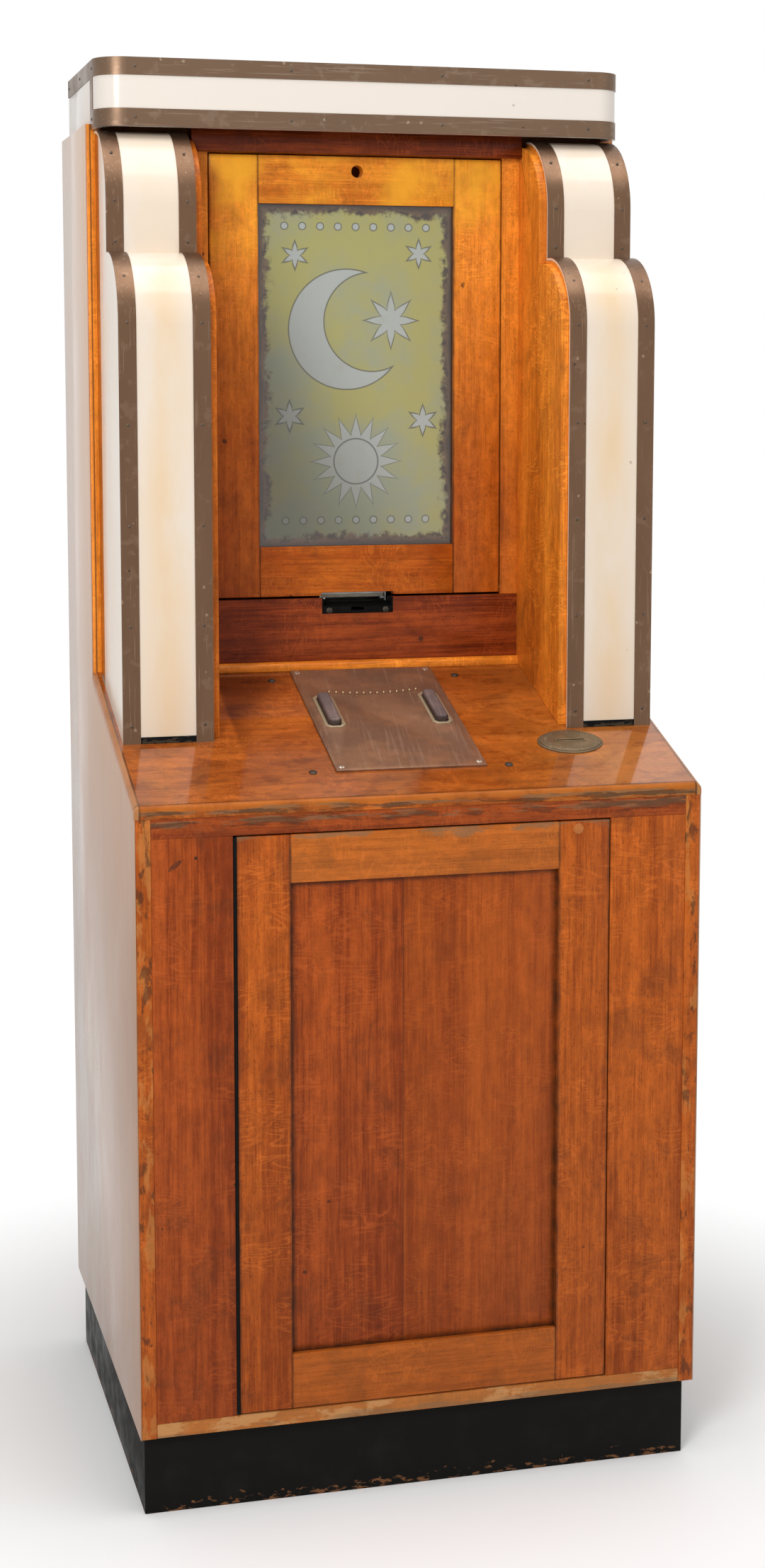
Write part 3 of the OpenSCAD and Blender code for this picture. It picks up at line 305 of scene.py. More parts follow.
def make_oak_group():
    """Streaks, pores and ray flecks of quartered oak whose grain runs along Z."""
    tree, given, result = new_group(
        "oak_figure",
        [("Vector", "Vector", None), ("Light", "Color", None), ("Dark", "Color", None),
         ("Rays", "Float", 0.5), ("Pores", "Float", 0.6)],
        [("Color", "Color"), ("Roughness", "Float"), ("Height", "Float")],
    )
    point = given["Vector"]
    boards = noise(tree, stretch(tree, point, (1, 1, 0.03)), 15, 2)
    streaks = noise(tree, stretch(tree, point, (1, 1, 0.035)), 130, 4, 0.6, 0.3)
    fibres = noise(tree, stretch(tree, point, (1, 1, 0.03)), 600, 2, 0.6)
    pore_field = noise(tree, stretch(tree, point, (1, 1, 0.34)), 640, 3)
    pores = ease(tree, pore_field, 0.58, 0.70)
    ray_field = noise(tree, stretch(tree, point, (0.35, 0.35, 1.5)), 30, 2, 0.5, 0.5)
    ray_lines = ease(tree, calc(tree, "SINE", times(tree, ray_field, 75)), 0.2, 1.0)
    ray_zone = ease(tree, noise(tree, point, 14, 3), 0.43, 0.62)
    rays = times(tree, times(tree, ray_lines, ray_zone), given["Rays"])
    tone = calc(tree, "ADD", times(tree, boards, 0.40), times(tree, streaks, 0.34))
    tone = ease(tree, calc(tree, "ADD", tone, times(tree, fibres, 0.26)), 0.39, 0.61)
    color = mix(tree, tone, given["Dark"], given["Light"])
    color = mix(tree, rays, color, mix(tree, 1.0, given["Light"], (1.30, 1.42, 1.75), "MULTIPLY"))
    blotch_field = noise(tree, stretch(tree, point, (1, 1, 0.5)), 75, 4, 0.65)
    color = mix(tree, 1.0, color, ease(tree, blotch_field, 0.3, 0.7, 0.82, 1.14), "MULTIPLY")
    deep = mix(tree, 1.0, given["Dark"], (0.42, 0.36, 0.34), "MULTIPLY")
    color = mix(tree, times(tree, pores, given["Pores"]), color, deep)
    tree.links.new(color, result["Color"])
    tree.links.new(ease(tree, pores, 0.0, 1.0, 0.30, 0.52), result["Roughness"])
    height = calc(tree, "SUBTRACT", times(tree, fibres, 0.5), times(tree, pores, 0.7))
    tree.links.new(height, result["Height"])


def make_patches_group():
    """Ragged patches, for wear, stains and chips."""
    tree, given, result = new_group(
        "ragged_patches",
        [("Vector", "Vector", None), ("Scale", "Float", 20.0), ("Cover", "Float", 0.5)],
        [("Mask", "Float")],
    )
    field = noise(tree, given["Vector"], given["Scale"], 6, 0.62, 0.3)
    edge = calc(tree, "SUBTRACT", 0.80, times(tree, given["Cover"], 0.6))
    mask = ease(tree, field, calc(tree, "SUBTRACT", edge, 0.04), calc(tree, "ADD", edge, 0.04))
    tree.links.new(mask, result["Mask"])


def make_line_group():
    """A soft line where a value passes a centre."""
    tree, given, result = new_group(
        "soft_line",
        [("Value", "Float", 0.0), ("Centre", "Float", 0.0), ("Reach", "Float", 0.01)],
        [("Mask", "Float")],
    )
    away = calc(tree, "ABSOLUTE", calc(tree, "SUBTRACT", given["Value"], given["Centre"]))
    tree.links.new(ease(tree, away, 0.0, given["Reach"], 1.0, 0.0), result["Mask"])


def make_scratch_group():
    """Fine scratches that run along the vector's Z."""
    tree, given, result = new_group(
        "fine_scratches",
        [("Vector", "Vector", None), ("Scale", "Float", 300.0), ("Cover", "Float", 0.3)],
        [("Mask", "Float")],
    )
    thin = stretch(tree, given["Vector"], (1, 1, 0.035))
    lines = noise(tree, thin, given["Scale"], 2, 0.5)
    edge = calc(tree, "SUBTRACT", 0.78, times(tree, given["Cover"], 0.4))
    tree.links.new(ease(tree, lines, edge, calc(tree, "ADD", edge, 0.06)), result["Mask"])


def make_dents_group():
    """Sparse small dents and knocks."""
    tree, given, result = new_group(
        "knocks",
        [("Vector", "Vector", None), ("Scale", "Float", 30.0), ("Share", "Float", 0.2)],
        [("Mask", "Float")],
    )
    cells = tree.nodes.new("ShaderNodeTexVoronoi")
    bend = stretch(tree, noise_vector(tree, given["Vector"], 160), (6 * MM, 6 * MM, 6 * MM))
    bent = vector_calc(tree, "ADD", given["Vector"], bend)
    feed(tree, cells.inputs["Vector"], bent)
    feed(tree, cells.inputs["Scale"], given["Scale"])
    chosen = parts_of(tree, cells.outputs["Color"])
    size = ease(tree, chosen[1], 0.0, 1.0, 0.04, 0.13)
    near = calc(tree, "LESS_THAN", cells.outputs["Distance"], size)
    kept = calc(tree, "LESS_THAN", chosen[0], given["Share"])
    tree.links.new(times(tree, near, kept), result["Mask"])


def flat_distance(tree, given):
    """The way from a group's centre to its point in X and Z, and how long that is."""
    way = vector_calc(tree, "SUBTRACT", given["Point"], given["Centre"])
    flat = stretch(tree, way, (1, 0, 1))
    return flat, math_node(tree, "VectorMath", "LENGTH", [flat]).outputs["Value"]


def make_disc_group():
    """A disc in X and Z round a centre."""
    tree, given, result = new_group(
        "painted_disc",
        [("Point", "Vector", None), ("Centre", "Vector", (0, 0, 0)), ("Radius", "Float", 0.05)],
        [("Mask", "Float")],
    )
    away = flat_distance(tree, given)[1]
    left = calc(tree, "SUBTRACT", given["Radius"], away)
    tree.links.new(ease(tree, left, -0.4 * MM, 0.4 * MM), result["Mask"])


def make_star_group():
    """A pointed star in X and Z round a centre."""
    tree, given, result = new_group(
        "painted_star",
        [("Point", "Vector", None), ("Centre", "Vector", (0, 0, 0)), ("Points", "Float", 8.0),
         ("Inner", "Float", 0.02), ("Outer", "Float", 0.05)],
        [("Mask", "Float")],
    )
    flat, away = flat_distance(tree, given)
    x, _, z = parts_of(tree, flat)
    share = calc(tree, "DIVIDE", math.pi, given["Points"])
    saw = calc(tree, "DIVIDE", calc(tree, "PINGPONG", calc(tree, "ARCTAN2", x, z), share), share)
    drop = calc(tree, "SUBTRACT", given["Inner"], given["Outer"])
    reach = calc(tree, "ADD", given["Outer"], times(tree, drop, calc(tree, "POWER", saw, 0.6)))
    left = calc(tree, "SUBTRACT", reach, away)
    tree.links.new(ease(tree, left, -0.4 * MM, 0.4 * MM), result["Mask"])


def make_groups():
    """Builds every shared shader group once."""
    makers = (make_oak_group, make_patches_group, make_line_group, make_scratch_group, make_dents_group,
              make_disc_group, make_star_group)
    for maker in makers:
        maker()


def seen_ray(tree):
    """1 where the camera looks, straight, by a reflection or through glass."""
    path = tree.nodes.new("ShaderNodeLightPath")
    seen = calc(tree, "MAXIMUM", path.outputs["Is Camera Ray"], path.outputs["Is Glossy Ray"])
    return calc(tree, "MAXIMUM", seen, path.outputs["Is Transmission Ray"])


def new_material(label, roughness=0.5, metallic=0.0):
    """A Principled material, with its tree and shader."""
    material = bpy.data.materials.new(label)
    material.use_nodes = True
    tree = material.node_tree
    shader = tree.nodes["Principled BSDF"]
    shader.inputs["Roughness"].default_value = roughness
    shader.inputs["Metallic"].default_value = metallic
    return material, tree, shader


def layered(tree, color, *layers):
    """A colour with more colours over it, each by a mask and a strength."""
    for mask, strength, tone in layers:
        color = mix(tree, times(tree, mask, strength), color, tone)
    return color


def set_surface(tree, shader, color, roughness):
    """Feeds the shader's colour and roughness."""
    tree.links.new(color, shader.inputs["Base Color"])
    tree.links.new(roughness, shader.inputs["Roughness"])


def set_gloss(material, level):
    """Sets how strongly a material's bare surface reflects."""
    material.node_tree.nodes["Principled BSDF"].inputs["Specular IOR Level"].default_value = level


def raise_surface(tree, shader, height, depth):
    """Feeds a height of so many metres to the shader's normal."""
    bump = tree.nodes.new("ShaderNodeBump")
    bump.inputs["Distance"].default_value = depth
    bump.inputs["Strength"].default_value = 0.6
    feed(tree, bump.inputs["Height"], height)
    tree.links.new(bump.outputs[0], shader.inputs["Normal"])


def oak_color(tree, tone, grain, seed):
    """The oak group's outputs for one tone, grain axis and board."""
    oak = bpy.context.scene.palm_oak
    place = (0.37 * seed, 0.61 * seed, 0.83 * seed)
    point = turned(tree, object_point(tree), (0, math.pi / 2 if grain == "X" else 0, 0), place)
    light, dark = getattr(oak, tone + "_light"), getattr(oak, tone + "_dark")
    return place_group(tree, "oak_figure", vector=point, light=light, dark=dark, rays=oak.rays, pores=0.5)


def oak_material(label, tone, grain, seed, dents=0.10, coat=0.03):
    """Varnished oak with dirt and knocks; later steps may mix more over its colour."""
    oak = bpy.context.scene.palm_oak
    material, tree, shader = new_material(label)
    figure = oak_color(tree, tone, grain, seed)
    point = object_point(tree)
    dirt = mask_of(tree, "ragged_patches", vector=point, scale=16.0, cover=0.34)
    knocks = mask_of(tree, "knocks", vector=point, scale=34.0, share=dents)
    color = layered(tree, figure["Color"], (dirt, 0.22, oak.grime_and_shade), (knocks, 0.75, oak.grime_and_shade))
    set_surface(tree, shader, color, figure["Roughness"])
    shader.inputs["Specular IOR Level"].default_value = 0.11
    shader.inputs["Coat Weight"].default_value = coat
    shader.inputs["Coat Roughness"].default_value = 0.11
    height = calc(tree, "SUBTRACT", figure["Height"], times(tree, knocks, 1.5))
    raise_surface(tree, shader, height, 0.25 * MM)
    return material


def over_color(material, mask_and_color, mode="MIX"):
    """Mixes more over a material's colour: a function gives the mask and the colour."""
    tree = material.node_tree
    shader = tree.nodes["Principled BSDF"]
    under = shader.inputs["Base Color"].links[0].from_socket
    mask, color = mask_and_color(tree)
    tree.links.new(mix(tree, mask, under, color, mode), shader.inputs["Base Color"])


def dirt_and_shade_lines(material, axis, centres, reach, strength):
    """Dark lines along level or upright lines, at places on one axis: dirt in joints, and painted shade in
    recesses.
    """
    for centre in centres:
        def line(tree):
            point = object_point(tree)
            value = parts_of(tree, point)["XYZ".index(axis)]
            near = mask_of(tree, "soft_line", value=value, centre=centre, reach=reach)
            share = uneven(tree, point, 35, 3, 0.4 * strength, strength)
            return times(tree, near, share), bpy.context.scene.palm_oak.grime_and_shade
        over_color(material, line)


def painted_shade_along(axis, low, high, share, tint, scale, even):
    """Painted shade: a darker tone that grows from high to low on one axis, in clouds."""
    def shade(tree):
        point = object_point(tree)
        fall = ease(tree, parts_of(tree, point)["XYZ".index(axis)], low, high, share, 0.0)
        cloud = ease(tree, noise(tree, point, scale, 3), 0.25, 0.75, even, 1.0)
        return times(tree, fall, cloud), tint
    return shade


def painted_shade_below(low, high, share, tint=(0.53, 0.44, 0.38), even=0.7):
    """Painted shade: a darker tone that grows from height high down to height low."""
    return painted_shade_along("Z", low, high, share, tint, 9, even)


# Painted shade: darker towards the floor on the lower front, and the tint of the shade on the left of the
# upper frame.
LOW_SHADE = painted_shade_below(0.10, 0.55, 0.35)
LEFT_SHADE_TINT = (0.45, 0.30, 0.28)


def worn_level(level, reach, cover):
    """Bare patches along a level edge."""
    def patches(tree):
        point = object_point(tree)
        z = parts_of(tree, point)[2]
        near = mask_of(tree, "soft_line", value=z, centre=level, reach=reach)
        flat = stretch(tree, point, (0.25, 1, 1))
        spread = times(tree, near, cover)
        mask = mask_of(tree, "ragged_patches", vector=flat, scale=55.0, cover=spread)
        return times(tree, mask, 0.6), bpy.context.scene.palm_oak.bare
    return patches


def worn_patches(scale, cover, ratio, color, strength):
    """Ragged patches of another colour all over a piece."""
    def patches(tree):
        point = stretch(tree, object_point(tree), ratio)
        mask = mask_of(tree, "ragged_patches", vector=point, scale=scale, cover=cover)
        return times(tree, mask, strength), color
    return patches


def scuffs(level, reach, scale, color, strength):
    """Long worn streaks about a level, more at some places across than at others."""
    def streaks(tree):
        point = object_point(tree)
        z = parts_of(tree, point)[2]
        across = noise(tree, stretch(tree, point, (1, 0, 0)), 6, 2)
        near = mask_of(tree, "soft_line", value=z, centre=level, reach=reach)
        cover = times(tree, near, ease(tree, across, 0.40, 0.62, 0.42, 0.70))
        long_point = stretch(tree, point, (0.10, 1, 1))
        mask = mask_of(tree, "ragged_patches", vector=long_point, scale=scale, cover=cover)
        return times(tree, mask, strength), color
    return streaks


def laminate_material(label, stain=0.5, grey=0.0):
    """Cream laminate with peach stains, faint streaks and specks."""
    shell = bpy.context.scene.palm_shell
    material, tree, shader = new_material(label, 0.2)
    point = object_point(tree)
    tall = stretch(tree, point, (1, 1, 0.4))
    stains = mask_of(tree, "ragged_patches", vector=tall, scale=7.0, cover=0.62)
    cloud = noise(tree, tall, 16, 5, 0.6)
    amount = times(tree, calc(tree, "ADD", times(tree, stains, 0.4), cloud), stain)
    color = mix(tree, amount, shell.laminate, shell.stain)
    streaks = noise(tree, stretch(tree, point, (1, 1, 0.02)), 120, 3)
    color = mix(tree, ease(tree, streaks, 0.35, 0.65, 0.7 * grey, grey), color, (0.50, 0.35, 0.28))
    specks = mask_of(tree, "knocks", vector=point, scale=60.0, share=0.035)
    color = layered(tree, color, (specks, 0.5, (0.35, 0.24, 0.16)))
    set_surface(tree, shader, color, ease(tree, cloud, 0.3, 0.7, 0.14, 0.24))
    raise_surface(tree, shader, noise(tree, point, 40, 2), 0.12 * MM)
    return material


def strip_material(label, along_x):
    """Brown bronze strip with rubbed patches and lengthwise scratches."""
    metal = bpy.context.scene.palm_metal
    material, tree, shader = new_material(label, 0.38, 0.85)
    point = turned(tree, object_point(tree), (0, math.pi / 2 if along_x else 0, 0))
    rubbed = mask_of(tree, "ragged_patches", vector=point, scale=60.0, cover=0.34)
    marks = mask_of(tree, "fine_scratches", vector=point, scale=420.0, cover=0.38)
    cloud = noise(tree, stretch(tree, point, (1, 1, 0.3)), 22, 4)
    color = mix(tree, ease(tree, cloud, 0.3, 0.7, 0.0, 0.35), metal.bronze, (0.09, 0.048, 0.028))
    spots = mask_of(tree, "knocks", vector=point, scale=75.0, share=0.10)
    flecks = mask_of(tree, "knocks", vector=point, scale=58.0, share=0.30)
    color = layered(
        tree, color, (rubbed, 0.25, metal.bronze_worn), (marks, 0.45, metal.bronze_worn),
        (spots, 0.7, (0.03, 0.02, 0.015)), (flecks, 0.5, (0.40, 0.29, 0.18)),
    )
    set_surface(tree, shader, color, ease(tree, cloud, 0.3, 0.7, 0.30, 0.44))
    raise_surface(tree, shader, noise(tree, point, 140, 3), 0.1 * MM)
    return material


def plate_material(label, base, worn, turn):
    """Worn plate metal with slanting scratches and dark stains."""
    material, tree, shader = new_material(label, 0.45, 0.5)
    point = object_point(tree)
    slant = turned(tree, point, turn)
    long_marks = mask_of(tree, "fine_scratches", vector=slant, scale=260.0, cover=0.42)
    fine_marks = mask_of(tree, "fine_scratches", vector=slant, scale=600.0, cover=0.40)
    stains = mask_of(tree, "ragged_patches", vector=point, scale=26.0, cover=0.52)
    cloud = noise(tree, point, 17, 4)
    dark = mix(tree, 1.0, base, (0.55, 0.56, 0.62), "MULTIPLY")
    color = mix(tree, ease(tree, cloud, 0.35, 0.65), base, dark)
    color = layered(tree, color, (stains, 0.35, dark), (long_marks, 0.14, worn), (fine_marks, 0.18, worn))
    set_surface(tree, shader, color, ease(tree, cloud, 0.3, 0.7, 0.38, 0.56))
    raise_surface(tree, shader, calc(tree, "ADD", long_marks, cloud), 0.12 * MM)
    return material


def machined_material(label, color, roughness, metallic=0.9):
    """Plain worked metal with faint marks."""
    material, tree, shader = new_material(label, roughness, metallic)
    point = object_point(tree)
    cloud = noise(tree, point, 60, 4)
    marks = mask_of(tree, "fine_scratches", vector=point, scale=700.0, cover=0.35)
    dark = mix(tree, 1.0, color, (0.82, 0.80, 0.78), "MULTIPLY")
    shade = mix(tree, ease(tree, cloud, 0.35, 0.7), color, dark)
    pale = mix(tree, 1.0, color, (1.25, 1.25, 1.25), "MULTIPLY")
    worked = layered(tree, shade, (marks, 0.4, pale))
    set_surface(tree, shader, worked, ease(tree, cloud, 0.2, 0.8, roughness, roughness + 0.15))
    return material


def paint_material(label, color, roughness, chip, low, reach, cover):
    """Paint that is chipped along a level edge at height low."""
    material, tree, shader = new_material(label, roughness)
    point = object_point(tree)
    near = mask_of(tree, "soft_line", value=parts_of(tree, point)[2], centre=low, reach=reach)
    spread = times(tree, near, cover)
    flat = stretch(tree, point, (1, 1, 2.2))
    chips = mask_of(tree, "ragged_patches", vector=flat, scale=70.0, cover=spread)
    cloud = noise(tree, point, 30, 5, 0.6)
    shader.inputs["Specular IOR Level"].default_value = 0.06
    dusty = mix(tree, 1.0, color, (2.0, 1.85, 1.6), "MULTIPLY")
    shade = mix(tree, ease(tree, cloud, 0.45, 0.8, 0.0, 0.6), color, dusty)
    chipped = layered(tree, shade, (chips, 0.85, chip))
    set_surface(tree, shader, chipped, ease(tree, cloud, 0.3, 0.7, roughness - 0.08, roughness + 0.14))
    height = calc(tree, "SUBTRACT", cloud, times(tree, chips, 0.8))
    raise_surface(tree, shader, height, 0.3 * MM)
    return material


# Mesh building

def set_mode(name):
    """Goes to edit mode or object mode."""
    bpy.ops.object.mode_set(mode=name)


def apply_place():
    """Puts the selected objects' place, turn and size into their meshes."""
    bpy.ops.object.transform_apply(location=True, rotation=True, scale=True)


def select_only(piece):
    """Leaves one object selected and active."""
    if bpy.context.object and bpy.context.object.mode != "OBJECT":
        set_mode("OBJECT")
    bpy.ops.object.select_all(action="DESELECT")
    piece.select_set(True)
    bpy.context.view_layer.objects.active = piece


def choose(piece, kind, wanted):
    """In edit mode, selects only the faces or edges that a test wants."""
    bpy.ops.mesh.select_all(action="DESELECT")
    bpy.ops.mesh.select_mode(type="FACE" if kind == "faces" else "EDGE")
    mesh = bmesh.from_edit_mesh(piece.data)
    for part in getattr(mesh, kind):
        part.select_set(wanted(part))
    mesh.select_flush_mode()
    bmesh.update_edit_mesh(piece.data)


def is_crease(edge, shortest):
    """Whether an edge is long enough and sharp enough to round."""
    return len(edge.link_faces) == 2 and edge.calc_length() > shortest and edge.calc_face_angle() > 0.6


def dressed(node, material, rounding, shortest=3 * MM):
    """A merged copy of a node with rounded edges, which stands for the node."""
    piece = bpy.data.objects.new(node + "_dressed", frame["nodes"][node].data.copy())
    bpy.context.scene.collection.objects.link(piece)
    select_only(piece)
    bpy.ops.mesh.customdata_custom_splitnormals_clear()
    set_mode("EDIT")
    bpy.ops.mesh.select_all(action="SELECT")
    bpy.ops.mesh.remove_doubles(threshold=0.01 * MM)
    bpy.ops.mesh.dissolve_limited(angle_limit=math.radians(0.4))
    choose(piece, "edges", lambda edge: is_crease(edge, shortest))
    bpy.ops.mesh.bevel(offset=rounding, segments=2, affect="EDGES", clamp_overlap=False)
    set_mode("OBJECT")
    bpy.ops.object.shade_smooth_by_angle(angle=math.radians(32))
    piece.data.materials.clear()
    piece.data.materials.append(material)
    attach(piece, BODY_OF[node])
    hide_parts(node)
    return piece


def paint_nodes(material, *nodes):
    """Gives carried-over nodes their material."""
    for node in nodes:
        mesh = frame["nodes"][node].data
        mesh.materials.clear()
        mesh.materials.append(material)


def dome_head(label, radius, height):
    """A round head on z = 0, drawn in and lifted in two steps."""
    bpy.ops.object.select_all(action="DESELECT")
    bpy.ops.mesh.primitive_cylinder_add(vertices=16, radius=radius, depth=0.4 * height,
                                        location=(0, 0, 0.2 * height))
    head = bpy.context.object
    head.name = label
    apply_place()
    set_mode("EDIT")
    choose(head, "faces", lambda face: face.normal.z > 0.9)
    for draw, lift in ((0.30, 0.38), (0.34, 0.22)):
        bpy.ops.mesh.inset(thickness=draw * radius)
        bpy.ops.transform.translate(value=(0, 0, lift * height))
    set_mode("OBJECT")
    bpy.ops.object.shade_smooth_by_angle(angle=math.radians(50))
    return head


def slotted_head(label, radius, height):
    """A domed screw head with a slot pressed into it."""
    head = dome_head(label, radius, height)
    half = 0.13 * radius
    set_mode("EDIT")
    for side in (-half, half):
        bpy.ops.mesh.select_all(action="SELECT")
        bpy.ops.mesh.bisect(plane_co=(side, 0, 0), plane_no=(1, 0, 0))
    choose(head, "faces", lambda face: abs(face.calc_center_median().x) < half and face.normal.z > 0.3)
    bpy.ops.mesh.extrude_region_move(TRANSFORM_OT_translate={"value": (0, 0, -0.35 * height)})
    set_mode("OBJECT")
    return head


def join_copies(master, label, matrices, material, body):
    """Joins a copy of the master at each matrix, and drops the master."""
    copies = []
    for matrix in matrices:
        copy = master.copy()
        copy.data = master.data.copy()
        bpy.context.scene.collection.objects.link(copy)
        copy.matrix_world = matrix
        copies.append(copy)
    bpy.data.objects.remove(master)
    select_only(copies[0])
    for copy in copies:
        copy.select_set(True)
    if len(copies) > 1:
        bpy.ops.object.join()
    piece = bpy.context.object
    piece.name = label
    apply_place()
    piece.data.materials.clear()
    piece.data.materials.append(material)
    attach(piece, body)
    return piece


def place_copies(master, label, places, material, body):
    """Joins a copy of the master at each point, its Z along the normal there."""
    matrices = []
    for point, normal in places:
        turn = Vector(normal).to_track_quat("Z", "Y").to_matrix().to_4x4()
        matrices.append(Matrix.Translation(Vector(point)) @ turn)
    return join_copies(master, label, matrices, material, body)


def place_nails(label, places, finish):
    """Brown nails of the trims."""
    metal = machined_material(finish, (0.10, 0.075, 0.055), 0.4)
    head = dome_head(label + "_head", bpy.context.scene.palm_sizes.nail_radius, 0.9 * MM)
    place_copies(head, label, places, metal, "cabinet")


def on_desk(x, along, above):
    """A point of the desk: x across, along the slope from its front edge, above its top."""
    sine, cosine = math.sin(DESK_SLOPE), math.cos(DESK_SLOPE)
    return Vector((x, FRONT_Y + along * cosine - above * sine, DESK_EDGE_Z + along * sine + above * cosine))


DESK_NORMAL = Vector((0, -math.sin(DESK_SLOPE), math.cos(DESK_SLOPE)))


def above_desk(tree):
    """How far the shaded point lies above the desk's top."""
    _, y, z = parts_of(tree, object_point(tree))
    up = times(tree, calc(tree, "SUBTRACT", z, DESK_EDGE_Z), math.cos(DESK_SLOPE))
    back = times(tree, calc(tree, "SUBTRACT", y, FRONT_Y), math.sin(DESK_SLOPE))
    return calc(tree, "SUBTRACT", up, back)


def spaced(low, high, pitch):
    """Even places from low to high, about a pitch apart."""
    count = max(1, round((high - low) / pitch))
    return [low + (high - low) * i / count for i in range(count + 1)]


class PALM_OT_carcass(bpy.types.Operator):
    """Plinth, base board, side boards with their skins, and the back with its screws"""

    bl_idname = "palm.carcass"
    bl_label = "Carcass"

    SLOPE_END = 996 * MM
    STRIP_X = 349.2 * MM

    def execute(self, context):
        oak, shell, sizes = context.scene.palm_oak, context.scene.palm_shell, context.scene.palm_sizes
        black = paint_material("plinth_paint", shell.plinth, 0.42, shell.chip, 0.0, 0.030, 0.42)
        dressed("plinth", black, oak.rounding)
        base = oak_material("base_oak", "amber", "X", 1.0, 0.3)
        over_color(base, lambda tree: (0.5, (0.43, 0.19, 0.05)))
        over_color(base, worn_patches(50.0, 0.42, (0.4, 1, 1), (0.60, 0.34, 0.14), 0.45))
        over_color(base, scuffs(105 * MM, 14 * MM, 90.0, oak.bare, 0.5))
        dressed("base_board", base, oak.rounding)
        for seed, side in enumerate(("left", "right")):
            edge = oak_material(side + "_edge_oak", "amber", "Z", 3.0 + seed, 0.45)
            over_color(edge, worn_patches(55.0, 0.40, (1, 1, 0.3), (0.50, 0.20, 0.05), 0.5))
            over_color(edge, worn_patches(80.0, 0.34, (1, 1, 0.4), oak.grime_and_shade, 0.65))
            over_color(edge, self.upper_strip)
            over_color(edge, self.strip_line)
            dressed(side + "_side_panel", edge, oak.rounding)
            skin = laminate_material(side + "_skin", 0.5, 0.36)
            over_color(skin, lambda tree: (1.0, (0.89, 0.745, 0.66)), "MULTIPLY")
            # Darker towards the bottom of the side skins: painted shade.
            over_color(skin, painted_shade_below(0.5, 1.3, 0.95, (0.52, 0.41, 0.33), 0.9), "MULTIPLY")
            set_gloss(skin, 0.2)
            dressed(side + "_side_skin", skin, 0.5 * MM)
        dressed("back_panel", oak_material("back_board", "amber", "Z", 6.0), oak.rounding)
        self.back_screws(sizes)
        return {"FINISHED"}

    def upper_strip(self, tree):
        """Brighter oak on the upright edges above the desk."""
        z = coordinate(tree, "Z")
        above = ease(tree, z, self.SLOPE_END - 2 * MM, self.SLOPE_END)
        return above, oak_color(tree, "honey", "Z", 5.0)["Color"]

    def strip_line(self, tree):
        """A dark joint along the middle of the upright edges."""
        x, _, z = parts_of(tree, object_point(tree))
        side = calc(tree, "ABSOLUTE", x)
        line = mask_of(tree, "soft_line", value=side, centre=self.STRIP_X, reach=1.6 * MM)
        above = ease(tree, z, self.SLOPE_END - 2 * MM, self.SLOPE_END, 0.0, 0.85)
        return times(tree, line, above), bpy.context.scene.palm_oak.grime_and_shade

    def back_screws(self, sizes):
        """A row of slotted screws round the back panel."""
        low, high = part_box("back_panel")
        inset = 11 * MM
        rows = spaced(low.z + inset, high.z - inset, sizes.back_pitch)
        columns = spaced(low.x + inset, high.x - inset, sizes.back_pitch)
        places = [((x, high.y, z), (0, 1, 0)) for x in (low.x + inset, high.x - inset) for z in rows]
        places += [((x, high.y, z), (0, 1, 0)) for x in columns[1:-1] for z in (rows[0], rows[-1])]
        steel = machined_material("back_screw_steel", bpy.context.scene.palm_metal.steel, 0.35)
        head = slotted_head("back_screw", sizes.screw_radius, 1.8 * MM)
        place_copies(head, "back_screws", places, steel, "cabinet")


